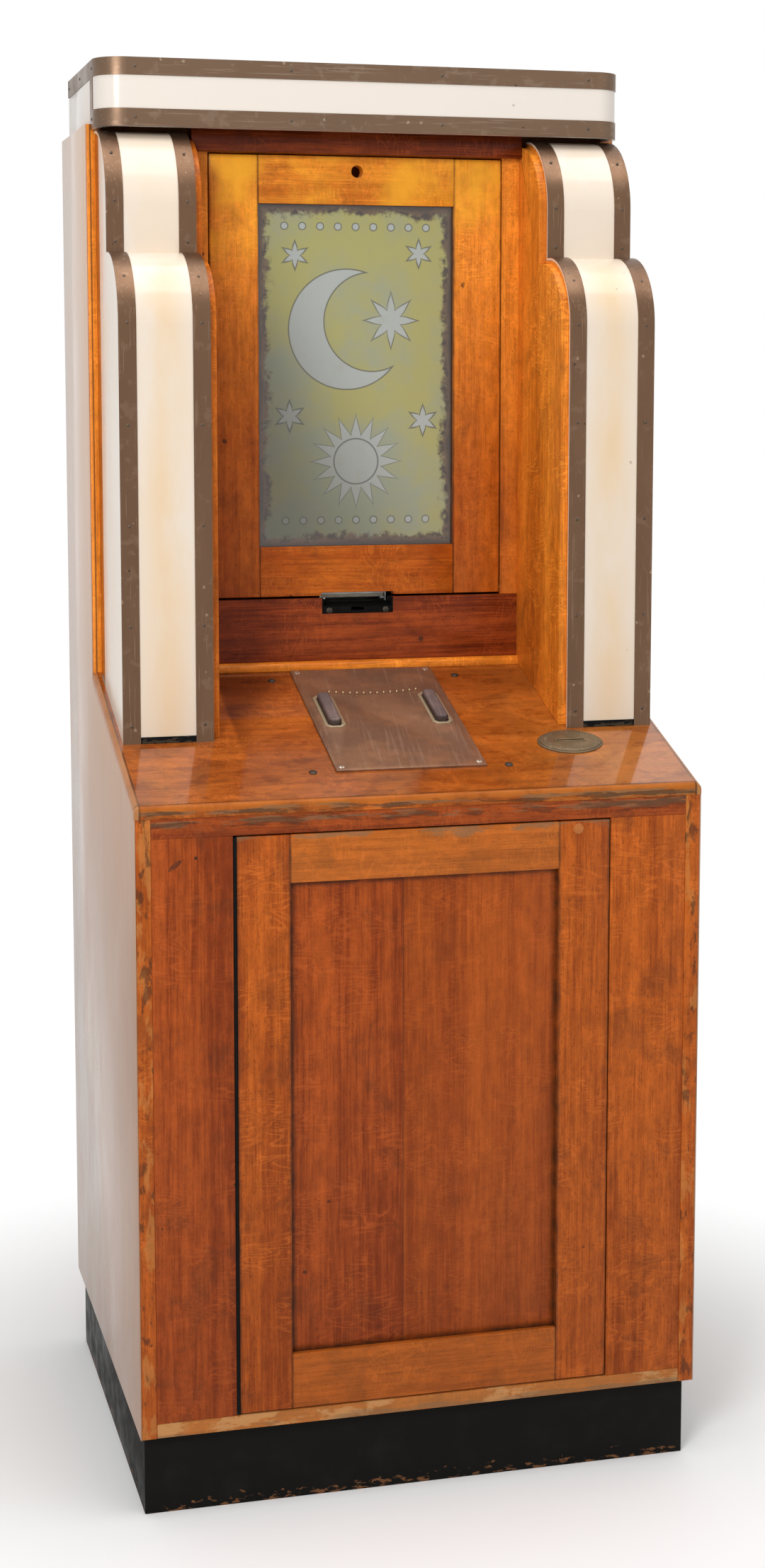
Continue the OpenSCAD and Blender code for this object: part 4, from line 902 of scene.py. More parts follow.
class PALM_OT_lower_front(bpy.types.Operator):
    """Fixed boards, rail and the framed lower door with its hinge and plug"""

    bl_idname = "palm.lower_front"
    bl_label = "Lower front"

    DOOR_X = (-232.8 * MM, 235.7 * MM)
    PANEL_X = (-167.8 * MM, 170.7 * MM)
    PANEL_Z = (192 * MM, 777.7 * MM)
    GOUGE = (-0.307, 0, 0.806)
    NAIL_HOLE = (-0.282, 0, 0.814)
    PLUG = (0.195, 0.827)

    def execute(self, context):
        oak = context.scene.palm_oak
        for seed, side, tone in ((8.0, "left", "russet"), (9.0, "right", "amber")):
            board = oak_material(side + "_front_oak", tone, "Z", seed, 0.26)
            over_color(board, LOW_SHADE, "MULTIPLY")
            if side == "left":
                over_color(board, self.gouges)
            dressed(side + "_front_panel", board, 0.8 * MM)
        top_rail = oak_material("rail_oak", "russet", "X", 11.0, 0.2)
        over_color(top_rail, scuffs(DESK_EDGE_Z - 21 * MM, 14 * MM, 170.0, oak.bare, 0.55))
        over_color(top_rail, scuffs(DESK_EDGE_Z - 22 * MM, 16 * MM, 280.0, oak.grime_and_shade, 0.55))
        dressed("front_top_rail", top_rail, 0.6 * MM)
        worn_top = worn_level(836 * MM, 20 * MM, 0.5)
        stiles = oak_material("door_stile_oak", "amber", "Z", 12.0)
        dirt_and_shade_lines(stiles, "X", (*self.PANEL_X, *self.DOOR_X), 4 * MM, 0.75)
        over_color(stiles, worn_top)
        over_color(stiles, LOW_SHADE, "MULTIPLY")
        dressed("lower_door_stiles", stiles, oak.rounding)
        rails = oak_material("door_rail_oak", "amber", "X", 13.5)
        over_color(rails, lambda tree: (0.16, (0.68, 0.26, 0.045)))
        dirt_and_shade_lines(rails, "X", self.PANEL_X, 3 * MM, 0.75)
        over_color(rails, worn_top)
        # Darker towards the floor: painted shade, stronger on the rails.
        over_color(rails, painted_shade_below(0.10, 0.55, 0.6), "MULTIPLY")
        dressed("lower_door_rails", rails, oak.rounding)
        dressed("lower_door_panel", self.panel_oak(), 0.3 * MM)
        metal = context.scene.palm_metal
        steel = paint_material("hinge_black", metal.enamel, 0.6, metal.casting, 0.12, 0.03, 0.3)
        paint_nodes(steel, "hinge_fixed_leaf", "hinge_door_leaf", "hinge_pin")
        self.plug(context.scene.palm_sizes)
        return {"FINISHED"}

    def gouges(self, tree):
        """A slanting gouge and a nail hole near the top of the left board."""
        point = object_point(tree)
        slant = tree.nodes.new("ShaderNodeMapping")
        slant.vector_type = "TEXTURE"
        slant.inputs["Location"].default_value = self.GOUGE
        slant.inputs["Rotation"].default_value = (0, math.radians(-40), 0)
        slant.inputs["Scale"].default_value = (1.0, 1.0, 0.3)
        tree.links.new(point, slant.inputs["Vector"])
        bent = slant.outputs[0]
        cut = mask_of(tree, "painted_disc", point=bent, centre=(0, 0, 0), radius=10 * MM)
        hole = mask_of(tree, "painted_disc", point=point, centre=self.NAIL_HOLE, radius=2 * MM)
        cut = times(tree, cut, ease(tree, noise(tree, point, 160, 3), 0.35, 0.65, 0.3, 0.9))
        return calc(tree, "MAXIMUM", cut, hole), bpy.context.scene.palm_oak.grime_and_shade

    def panel_oak(self):
        """Two boards of oak that meet in one seam."""
        seam_x = -26 * MM
        material = oak_material("door_panel_oak", "russet", "Z", 15.0, 0.06)

        def lighter_board(tree):
            other = oak_color(tree, "amber", "Z", 17.0)
            x = coordinate(tree, "X")
            side = ease(tree, x, seam_x - 0.2 * MM, seam_x + 0.2 * MM, 0.0, 0.42)
            return side, other["Color"]

        def seam(tree):
            x = coordinate(tree, "X")
            line = mask_of(tree, "soft_line", value=x, centre=seam_x, reach=0.9 * MM)
            return times(tree, line, 0.7), bpy.context.scene.palm_oak.grime_and_shade

        over_color(material, lighter_board)
        over_color(material, seam)
        over_color(material, LOW_SHADE, "MULTIPLY")
        # Painted shade round the panel, where it sits back in the frame.
        dirt_and_shade_lines(material, "X", self.PANEL_X, 10 * MM, 0.95)
        dirt_and_shade_lines(material, "Z", self.PANEL_Z, 10 * MM, 0.95)
        return material

    def plug(self, sizes):
        """The pale round plug near the door's latch corner."""
        face_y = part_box("lower_door_stiles")[0].y
        pale = oak_material("plug_wood", "amber", "X", 19.0, 0.0)
        over_color(pale, lambda tree: (0.5, (0.46, 0.20, 0.065)))
        head = dome_head("plug", sizes.plug_radius, 0.6 * MM)
        x, z = self.PLUG
        place_copies(head, "door_plug", [((x, face_y, z), (0, -1, 0))], pale, "lower_door")


class PALM_OT_desk(bpy.types.Operator):
    """Desk board with its worn front edge, the moulding behind it and the bolts"""

    bl_idname = "palm.desk"
    bl_label = "Desk"

    ARRIS_X = 349.5 * MM

    def execute(self, context):
        oak = context.scene.palm_oak
        top = oak_material("desk_oak", "amber", "X", 21.0, 0.08)
        self.varnish(top)
        over_color(top, self.golden_right)
        over_color(top, self.mottle, "MULTIPLY")
        # Painted shadow of the left pilaster, darkening the back left of the desk.
        over_color(top, self.pilaster_shadow_on_desk, "MULTIPLY")
        # Painted highlight on the upper rounding of the desk's front edge.
        over_color(top, self.nose_highlight)
        over_color(top, scuffs(DESK_EDGE_Z - 8 * MM, 11 * MM, 170.0, oak.bare, 0.6))
        over_color(top, scuffs(DESK_EDGE_Z - 10 * MM, 11 * MM, 290.0, oak.grime_and_shade, 0.6))
        # Painted light: tan on the board's end faces.
        over_color(top, self.lit_pale_ends)
        over_color(top, self.edge_dirt)
        paint_nodes(top, "desk_board")
        dressed("desk_moulding", oak_material("moulding_oak", "honey", "X", 23.0, 0.05), 0.4 * MM)
        bolts = machined_material("bolt_metal", (0.07, 0.055, 0.045), 0.45, 0.8)
        paint_nodes(bolts, "desk_bolts")
        return {"FINISHED"}

    def varnish(self, material):
        """A glossy coat on the top that is worn off the front edge and the ends."""
        tree = material.node_tree
        shader = tree.nodes["Principled BSDF"]
        x, y, _ = parts_of(tree, object_point(tree))
        side = calc(tree, "ABSOLUTE", x)
        flat = ease(tree, y, FRONT_Y + 4 * MM, FRONT_Y + 8 * MM)
        inner = ease(tree, side, self.ARRIS_X - 1 * MM, self.ARRIS_X + 1 * MM, 1.0, 0.1)
        tree.links.new(times(tree, flat, inner), shader.inputs["Coat Weight"])
        shader.inputs["Coat IOR"].default_value = 1.62
        shader.inputs["Coat Roughness"].default_value = 0.07

    def mottle(self, tree):
        """Redder patches over the board."""
        long_point = stretch(tree, object_point(tree), (0.6, 1, 1))
        wide = mask_of(tree, "ragged_patches", vector=long_point, scale=13.0, cover=0.52)
        small = mask_of(tree, "ragged_patches", vector=long_point, scale=60.0, cover=0.40)
        both = calc(tree, "ADD", times(tree, wide, 0.42), times(tree, small, 0.4))
        return both, (0.54, 0.41, 0.30)

    def golden_right(self, tree):
        """Yellower wood towards the right end."""
        x = coordinate(tree, "X")
        return ease(tree, x, 0.05, 0.30, 0.12, 0.42), (0.60, 0.24, 0.042)

    def pilaster_shadow_on_desk(self, tree):
        """Painted shadow of the left pilaster in the back left corner of the desk."""
        point = object_point(tree)
        x, y, _ = parts_of(tree, point)
        slant = calc(tree, "SUBTRACT", x, times(tree, y, 0.5))
        near = ease(tree, slant, -0.150, -0.100, 0.95, 0.0)
        inside = ease(tree, x, -0.204, -0.196)
        return times(tree, near, inside), (0.46, 0.40, 0.36)

    def nose_highlight(self, tree):
        """Painted highlight: orange on the upper rounding of the front edge."""
        point = object_point(tree)
        _, y, z = parts_of(tree, point)
        front = ease(tree, y, FRONT_Y + 4 * MM, FRONT_Y + 6 * MM, 1.0, 0.0)
        upper = ease(tree, z, DESK_EDGE_Z - 9 * MM, DESK_EDGE_Z - 4 * MM)
        share = uneven(tree, point, 18, 4, 0.2, 0.85)
        return times(tree, times(tree, front, upper), share), (0.47, 0.135, 0.019)

    def lit_pale_ends(self, tree):
        """Tan on the rounded ends of the board: painted light on the end faces."""
        point = object_point(tree)
        side = calc(tree, "ABSOLUTE", parts_of(tree, point)[0])
        share = uneven(tree, point, 25, 4, 0.55, 0.95)
        end = ease(tree, side, self.ARRIS_X - 1 * MM, self.ARRIS_X)
        return times(tree, end, share), (0.43, 0.19, 0.072)

    def edge_dirt(self, tree):
        """Dark lines where the top meets the roundings of its front edge and ends."""
        point = object_point(tree)
        x, y, z = parts_of(tree, point)
        side, reach = calc(tree, "ABSOLUTE", x), 2.2 * MM
        ends = mask_of(tree, "soft_line", value=side, centre=self.ARRIS_X - 1 * MM, reach=reach)
        front = mask_of(tree, "soft_line", value=y, centre=FRONT_Y + 6 * MM, reach=reach)
        front = times(tree, front, ease(tree, z, DESK_EDGE_Z - 3 * MM, DESK_EDGE_Z))
        lines = calc(tree, "MAXIMUM", ends, front)
        share = uneven(tree, point, 30, 3, 0.35, 0.9)
        return times(tree, lines, share), bpy.context.scene.palm_oak.grime_and_shade


class PALM_OT_hand_plate(bpy.types.Operator):
    """Hand plate, slotted screws, guide bars and reader pins"""

    bl_idname = "palm.hand_plate"
    bl_label = "Hand plate"

    DESK_BACK_Z = 1.02

    def execute(self, context):
        metal, sizes = context.scene.palm_metal, context.scene.palm_sizes
        along = (math.pi / 2 - DESK_SLOPE, math.radians(-6), 0.0)
        plate = plate_material("plate_copper", metal.copper, metal.copper_worn, along)
        over_color(plate, self.pale_rims)
        dressed("hand_plate", plate, 0.5 * MM, 5 * MM)
        bar = plate_material("bar_metal", (0.26, 0.20, 0.185), (0.50, 0.42, 0.39), along)
        # Painted shade on the guide bars' sides.
        over_color(bar, self.bar_side_shade)
        for side in ("left", "right"):
            dressed(side + "_guide_bar", bar, 0.4 * MM, 5 * MM)
        paint_nodes(machined_material("pin_metal", (0.42, 0.30, 0.17), 0.38), "reader_pins")
        paint_nodes(machined_material("frame_steel", metal.steel, 0.45), "reader_frame")
        self.screws(sizes)
        return {"FINISHED"}

    def pale_rims(self, tree):
        """Rubbed metal on the rims that stand above the plate."""
        return ease(tree, above_desk(tree), 3.2 * MM, 3.6 * MM, 0.0, 0.75), (0.42, 0.35, 0.22)

    def bar_side_shade(self, tree):
        """Painted shade on the bars' sides, below their rubbed tops."""
        return ease(tree, above_desk(tree), 8 * MM, 11.5 * MM, 0.85, 0.0), (0.045, 0.025, 0.018)

    def black_above(self, tree):
        """Black on the screws that are above the desk, in the card tray."""
        z = coordinate(tree, "Z")
        return ease(tree, z, self.DESK_BACK_Z, self.DESK_BACK_Z + 10 * MM, 0.0, 0.93), (0.02, 0.017, 0.014)

    def screws(self, sizes):
        """Slotted screws of the hand plate and the card tray, in place of the plain ones."""
        half_w, front, back, thick = 88 * MM, 75.5 * MM, 342.5 * MM, 3 * MM
        tray_half, tray_up = 38.7 * MM, 4 * MM
        tray_low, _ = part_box("card_tray")
        places = [(on_desk(x, s, thick), DESK_NORMAL) for x in (-half_w, half_w) for s in (front, back)]
        places += [((x, tray_low.y, tray_low.z + tray_up), (0, -1, 0)) for x in (-tray_half, tray_half)]
        pale = machined_material("screw_metal", (0.55, 0.48, 0.40), 0.35)
        over_color(pale, self.black_above)
        head = slotted_head("plate_screw", sizes.screw_radius, 1.4 * MM)
        piece = place_copies(head, "plate_screws_dressed", places, pale, "cabinet")
        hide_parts("plate_screws")


class PALM_OT_coin_entry(bpy.types.Operator):
    """Coin plate with a ridged border and a slot lip, the chute, lever and cash box"""

    bl_idname = "palm.coin_entry"
    bl_label = "Coin entry"

    PLACE = (222 * MM, 122 * MM)
    TOP = 3.5 * MM

    def execute(self, context):
        metal = context.scene.palm_metal
        bronze = plate_material("coin_bronze", metal.coin, (0.40, 0.35, 0.25), (0.4, 0.2, 0.3))
        dressed("coin_plate", bronze, 0.5 * MM, 1 * MM)
        self.ridges(bronze)
        self.slot_lip(bronze)
        steel = machined_material("chute_steel", metal.steel, 0.42)
        paint_nodes(steel, "coin_chute", "chute_spacers", "cash_box")
        paint_nodes(machined_material("lever_brass", metal.brass, 0.34), "coin_lever")
        return {"FINISHED"}

    def ridges(self, bronze):
        """Short ridges in a ring between the slot and the plate's edge."""
        half_long, half_wide, count = 33.5 * MM, 21.5 * MM, 44
        bpy.ops.object.select_all(action="DESELECT")
        bpy.ops.mesh.primitive_cube_add(size=1.0)
        ridge = bpy.context.object
        ridge.scale = (1.5 * MM, 5.0 * MM, 0.7 * MM)
        apply_place()
        set_mode("EDIT")
        choose(ridge, "edges", lambda edge: all(v.co.z > 0 for v in edge.verts))
        bpy.ops.mesh.bevel(offset=0.3 * MM, segments=2, affect="EDGES")
        set_mode("OBJECT")
        tilt = Matrix.Rotation(DESK_SLOPE, 4, "X")
        matrices = []
        for i in range(count):
            angle = 2 * math.pi * (i + 0.5) / count
            along, across = half_wide * math.sin(angle), half_long * math.cos(angle)
            outward = math.atan2(along / half_wide ** 2, across / half_long ** 2)
            spot = on_desk(self.PLACE[0] + across, self.PLACE[1] + along, self.TOP)
            turn = Matrix.Rotation(outward - math.pi / 2, 4, "Z")
            matrices.append(Matrix.Translation(spot) @ tilt @ turn)
        join_copies(ridge, "coin_plate_ridges", matrices, bronze, "cabinet")

    def slot_lip(self, bronze):
        """A raised lip round the coin slot."""
        long, wide, lip = 36 * MM, 3.2 * MM, 2.2 * MM
        bpy.ops.object.select_all(action="DESELECT")
        bpy.ops.mesh.primitive_plane_add(size=1.0)
        piece = bpy.context.object
        piece.name = "coin_slot_lip"
        piece.scale = (long + 2 * lip, wide + 2 * lip, 1.0)
        apply_place()
        set_mode("EDIT")
        bpy.ops.mesh.select_all(action="SELECT")
        bpy.ops.mesh.inset(thickness=lip)
        bpy.ops.mesh.delete(type="FACE")
        bpy.ops.mesh.select_all(action="SELECT")
        bpy.ops.mesh.extrude_region_move(TRANSFORM_OT_translate={"value": (0, 0, 0.9 * MM)})
        bpy.ops.mesh.select_all(action="SELECT")
        bpy.ops.mesh.normals_make_consistent(inside=False)
        choose(piece, "edges",
               lambda edge: is_crease(edge, 0) and all(v.co.z > 0.5 * MM for v in edge.verts))
        bpy.ops.mesh.bevel(offset=0.35 * MM, segments=2, affect="EDGES")
        set_mode("OBJECT")
        piece.matrix_world = (Matrix.Translation(on_desk(*self.PLACE, self.TOP))
                              @ Matrix.Rotation(DESK_SLOPE, 4, "X"))
        apply_place()
        piece.data.materials.append(bronze)
        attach(piece, "cabinet")


class PALM_OT_upper_frame(bpy.types.Operator):
    """Upper frame, card panel, card tray and soffit rail"""

    bl_idname = "palm.upper_frame"
    bl_label = "Upper frame"

    HEADER_SHADOW_Z = (1.664, 1.680)

    def execute(self, context):
        oak = context.scene.palm_oak
        upright = oak_material("frame_oak", "honey", "Z", 25.0, 0.06)
        # Darker towards the bottom of the frame: painted shade, with redder stained wood low down.
        over_color(upright, painted_shade_below(1.10, 1.60, 0.9, (0.46, 0.28, 0.26)), "MULTIPLY")
        # Painted shadow under the header, at the top of the upper frame.
        over_color(upright, self.header_shadow_band)
        dressed("upper_frame", upright, oak.rounding)
        panel = oak_material("card_panel_oak", "cherry", "X", 27.0, 0.10)
        # Darker on the left of the card panel: painted shadow of the left pilaster.
        over_color(panel, painted_shade_along("X", -0.20, -0.02, 0.75, LEFT_SHADE_TINT, 12, 0.6), "MULTIPLY")
        dressed("card_panel", panel, 0.5 * MM)
        soffit = oak_material("soffit_oak", "cherry", "X", 29.0, 0.10)
        # Darker soffit: painted shade under the header.
        over_color(soffit, lambda tree: (0.5, (0.42, 0.36, 0.30)), "MULTIPLY")
        dressed("soffit_rail", soffit, oak.rounding)
        metal = context.scene.palm_metal
        enamel = paint_material("tray_enamel", metal.enamel, 0.5, (0.03, 0.028, 0.025), 1.074, 0.010, 0.20)
        set_gloss(enamel, 0.02)
        dressed("card_tray", enamel, 0.4 * MM, 4 * MM)
        return {"FINISHED"}

    def header_shadow_band(self, tree):
        """Painted shadow in the gap below the header."""
        z = coordinate(tree, "Z")
        return ease(tree, z, *self.HEADER_SHADOW_Z, 0.0, 0.95), bpy.context.scene.palm_oak.grime_and_shade


class PALM_OT_glass_door(bpy.types.Operator):
    """Framed glass door with painted glass"""

    bl_idname = "palm.glass_door"
    bl_label = "Glass door"

    EDGE_X = (-197 * MM, 197 * MM)
    OPENING_X = (-132.5 * MM, 132.5 * MM)
    SUN_Z = (1.47, 1.63)

    def execute(self, context):
        oak = context.scene.palm_oak
        shade = painted_shade_below(1.16, 1.66, 0.95, (0.46, 0.27, 0.25))
        stiles = oak_material("glass_stile_oak", "honey", "Z", 31.0, 0.05)
        over_color(stiles, worn_patches(120.0, 0.50, (1, 1, 0.45), (0.98, 0.33, 0.06), 0.2))
        over_color(stiles, worn_patches(150.0, 0.44, (1, 1, 0.45), (0.26, 0.065, 0.014), 0.13))
        over_color(stiles, self.sunlit)
        over_color(stiles, shade, "MULTIPLY")
        over_color(stiles, self.shaded_left, "MULTIPLY")
        dirt_and_shade_lines(stiles, "X", (*self.EDGE_X, *self.OPENING_X), 3 * MM, 0.7)
        dressed("glass_door_stiles", stiles, oak.rounding)
        rails = oak_material("glass_rail_oak", "honey", "X", 33.0, 0.08)
        over_color(rails, self.sunlit)
        over_color(rails, shade, "MULTIPLY")
        dirt_and_shade_lines(rails, "X", self.OPENING_X, 2.5 * MM, 0.7)
        dressed("glass_door_rails", rails, oak.rounding)
        paint_nodes(oak_material("bead_oak", "amber", "Z", 35.0, 0.05), "glass_beads")
        paint_nodes(self.painted_glass(context.scene.palm_shell), "glass_pane")
        paint_nodes(machined_material("pivot_brass", context.scene.palm_metal.brass, 0.3), "door_pivot_pins")
        return {"FINISHED"}

    def sunlit(self, tree):
        """Painted light: yellower towards the top of the door."""
        point = object_point(tree)
        high = ease(tree, parts_of(tree, point)[2], *self.SUN_Z, 0.0, 0.9)
        cloud = ease(tree, noise(tree, point, 11, 3), 0.32, 0.62)
        return times(tree, high, cloud), (1.0, 0.46, 0.032)

    def shaded_left(self, tree):
        """Painted shade on the left stile, less towards its top."""
        point = object_point(tree)
        x, _, z = parts_of(tree, point)
        side = ease(tree, x, -0.19, -0.10, 0.42, 0.0)
        below = ease(tree, z, 1.46, 1.58, 1.0, 0.1)
        cloud = ease(tree, noise(tree, point, 12, 3), 0.25, 0.75, 0.6, 1.0)
        return times(tree, times(tree, side, below), cloud), LEFT_SHADE_TINT

    def painted_glass(self, shell):
        """Paint behind glass: a moon, stars, a sun and rows of dots on a faded ground."""
        material, tree, shader = new_material("painted_glass", 0.35)
        low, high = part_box("glass_pane")
        middle = (low + high) / 2
        point = turned(tree, object_point(tree), (0, 0, 0), (-middle.x, 0, -middle.z))
        fade = ease(tree, noise(tree, point, 8, 4, 0.6), 0.40, 0.66)
        color = mix(tree, fade, shell.ground, shell.faded)
        for edge, fill in self.motifs(tree, point):
            color = mix(tree, times(tree, edge, 0.85), color, shell.outline)
            color = mix(tree, fill, color, shell.motif)
        film = noise(tree, point, 45, 5, 0.65)
        color = mix(tree, ease(tree, film, 0.5, 0.8, 0.0, 0.3), color, shell.faded)
        # Darker towards the lower left of the glass: painted shade.
        x, _, z = parts_of(tree, point)
        shade_slope = calc(tree, "ADD", x, times(tree, z, 0.5))
        color = mix(tree, ease(tree, shade_slope, -0.19, 0.04, 0.95, 0.0), color, (0.33, 0.31, 0.26), "MULTIPLY")
        margin, flakes = self.flaked_edge(tree, point, (high - low) / 2)
        color = mix(tree, margin, color, shell.margin)
        color = mix(tree, flakes, color, shell.flaked)
        tree.links.new(color, shader.inputs["Base Color"])
        shader.inputs["Coat Weight"].default_value = 1.0
        shader.inputs["Coat Roughness"].default_value = 0.04
        return material

    def motifs(self, tree, point):
        """Pairs of an outline mask and a fill mask, one pair for each painted shape."""
        line = 1.8 * MM
        shapes = []

        def disc(x, z, radius):
            return mask_of(tree, "painted_disc", point=point, centre=(x, 0, z), radius=radius)

        def star(x, z, points, inner, outer):
            return mask_of(tree, "painted_star", point=point, centre=(x, 0, z), points=float(points),
                           inner=inner, outer=outer)

        def keep(mask, hole):
            return times(tree, mask, calc(tree, "SUBTRACT", 1.0, hole))

        moon, bite, shift = 78 * MM, 66 * MM, 34 * MM
        shapes.append((keep(disc(-0.012, 0.062, moon + line), disc(-0.012 + shift, 0.072, bite - line)),
                       keep(disc(-0.012, 0.062, moon), disc(-0.012 + shift, 0.072, bite))))
        stars = ((0.048, 0.074, 8, 13, 36), (-0.082, 0.158, 6, 6, 17), (0.086, 0.162, 6, 6, 17),
                 (-0.090, -0.052, 6, 7, 19), (0.092, -0.058, 6, 7, 19))
        for x, z, points, inner, outer in stars:
            shapes.append((star(x, z, points, inner * MM + line, outer * MM + 3 * line),
                           star(x, z, points, inner * MM, outer * MM)))
        sun_z = -0.112
        shapes.append((star(0, sun_z, 16, 34 * MM + line, 62 * MM + 2 * line),
                       star(0, sun_z, 16, 34 * MM, 62 * MM)))
        shapes.append((disc(0, sun_z, 31 * MM), disc(0, sun_z, 29 * MM)))
        for z in (-0.190, 0.196):
            for x in spaced(-0.096, 0.096, 24 * MM):
                shapes.append((disc(x, z, 5.5 * MM), disc(x, z, 4 * MM)))
        return shapes

    def flaked_edge(self, tree, point, half):
        """Masks of the bare margin round the paint and of the dark flakes along it."""
        x, _, z = parts_of(tree, point)
        side = calc(tree, "SUBTRACT", half.x - 8 * MM, calc(tree, "ABSOLUTE", x))
        level = calc(tree, "SUBTRACT", half.z - 8 * MM, calc(tree, "ABSOLUTE", z))
        depth = calc(tree, "MINIMUM", side, level)
        ragged = times(tree, calc(tree, "SUBTRACT", noise(tree, point, 70, 6, 0.7), 0.5), 26 * MM)
        wide = times(tree, calc(tree, "SUBTRACT", noise(tree, point, 16, 3), 0.5), 26 * MM)
        bent = calc(tree, "ADD", calc(tree, "ADD", depth, ragged), wide)
        margin = ease(tree, bent, 8 * MM, 15 * MM, 0.92, 0.0)
        rim = mask_of(tree, "soft_line", value=bent, centre=10 * MM, reach=9 * MM)
        specks = ease(tree, noise(tree, point, 75, 5, 0.7), 0.46, 0.58)
        outer = ease(tree, calc(tree, "ADD", depth, wide), 1 * MM, 8 * MM, 0.9, 0.0)
        return margin, calc(tree, "MAXIMUM", times(tree, rim, specks), outer)


class PALM_OT_pilasters(bpy.types.Operator):
    """Stepped pilasters: cheeks, white fronts, trims, nails and foot strips"""

    bl_idname = "palm.pilasters"
    bl_label = "Pilasters"

    LOW_R = 88 * MM
    HIGH_R = 94 * MM
    HIGH_SET_BACK = 94 * MM
    STEP_Z = 1.533

    def execute(self, context):
        oak, sizes = context.scene.palm_oak, context.scene.palm_sizes
        strip = strip_material("pilaster_bronze", False)
        white = laminate_material("pilaster_white", 0.40)
        over_color(white, lambda tree: (1.0, (0.95, 0.945, 0.935)), "MULTIPLY")
        over_color(white, self.beige_bloom, "MULTIPLY")
        for seed, side in enumerate(("left", "right")):
            cheeks = oak_material(side + "_cheek_oak", "honey", "Z", 37.0 + 2 * seed, 0.06)
            # Darker left cheeks: painted shade.
            if side == "left":
                over_color(cheeks, lambda tree: (1.0, (0.66, 0.53, 0.50)), "MULTIPLY")
            dressed(side + "_pilaster_cheeks", cheeks, oak.rounding)
            paint_nodes(white, side + "_pilaster_front")
            paint_nodes(strip, side + "_pilaster_trims")
        black = context.scene.palm_metal.enamel
        rough = paint_material("foot_strip_paint", black, 0.6, (0.06, 0.045, 0.03), 0.93, 0.02, 0.5)
        paint_nodes(rough, "pilaster_foot_strips")
        self.nails(sizes)
        return {"FINISHED"}

    def beige_bloom(self, tree):
        """A beige bloom down the middle of the lower fronts."""
        point = object_point(tree)
        x, _, z = parts_of(tree, point)
        low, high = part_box("right_pilaster_front")
        side = calc(tree, "ABSOLUTE", x)
        near = mask_of(tree, "soft_line", value=side, centre=(low.x + high.x) / 2, reach=42 * MM)
        below = ease(tree, z, self.STEP_Z - 30 * MM, self.STEP_Z + 5 * MM, 1.0, 0.1)
        tall = stretch(tree, point, (1, 1, 0.4))
        cloud = ease(tree, noise(tree, tall, 14, 4), 0.35, 0.62, 0.3, 1.0)
        return times(tree, times(tree, near, below), cloud), (1.0, 0.88, 0.70)

    def nails(self, sizes):
        """Nails along the four trims, square to the bent strip."""
        places = []
        for side in ("left", "right"):
            low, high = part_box(side + "_pilaster_trims")
            for x in (low.x + 11 * MM, high.x - 11 * MM):
                for point, normal in self.outline(low, high, sizes.nail_pitch):
                    places.append(((x, *point), (0, *normal)))
        place_nails("pilaster_nails", places, "nail_metal")

    def outline(self, low, high, pitch):
        """Points and normals in Y and Z up the strip: two straights and two quarter arcs."""
        high_y = low.y + self.HIGH_SET_BACK
        result = [((low.y, z), (-1, 0)) for z in spaced(low.z + 22 * MM, self.STEP_Z - self.LOW_R, pitch)]
        upper = spaced(self.STEP_Z + 14 * MM, high.z - self.HIGH_R, pitch)
        result += [((high_y, z), (-1, 0)) for z in upper]
        for front, top, radius in ((low.y, self.STEP_Z, self.LOW_R), (high_y, high.z, self.HIGH_R)):
            for angle in (math.radians(40), math.radians(74)):
                away = Vector((-math.cos(angle), math.sin(angle)))
                middle = Vector((front + radius, top - radius))
                result.append((middle + radius * away, away))
        return result


class PALM_OT_header(bpy.types.Operator):
    """Banded header with its nails"""

    bl_idname = "palm.header"
    bl_label = "Header"

    def execute(self, context):
        sizes = context.scene.palm_sizes
        white = laminate_material("header_white", 0.12)
        over_color(white, lambda tree: (1.0, (0.94, 0.945, 0.95)), "MULTIPLY")
        dressed("header_carcass", white, 0.6 * MM)
        paint_nodes(white, "header_fascia")
        strip = strip_material("header_bronze", True)
        over_color(strip, lambda tree: (1.0, (1.16, 1.30, 1.42)), "MULTIPLY")
        paint_nodes(strip, "header_top_band", "header_front_trim")
        self.nails(sizes)
        return {"FINISHED"}

    def nails(self, sizes):
        """Nails in the two bands, on the front and on the sides."""
        low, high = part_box("header_top_band")
        corner, half_band = 37 * MM, 11 * MM
        front_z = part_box("header_front_trim")[0].z
        places = []
        for z in (high.z - half_band, front_z + half_band):
            for x in spaced(low.x + corner + 12 * MM, high.x - corner - 12 * MM, 1.5 * sizes.nail_pitch):
                places.append(((x, low.y, z), (0, -1, 0)))
            back = high.y if z > high.z - 2 * half_band else low.y + 58 * MM
            for y in spaced(low.y + corner + 6 * MM, back - 12 * MM, sizes.nail_pitch):
                places += [((low.x, y, z), (-1, 0, 0)), ((high.x, y, z), (1, 0, 0))]
        place_nails("header_nails", places, "header_nail_metal")


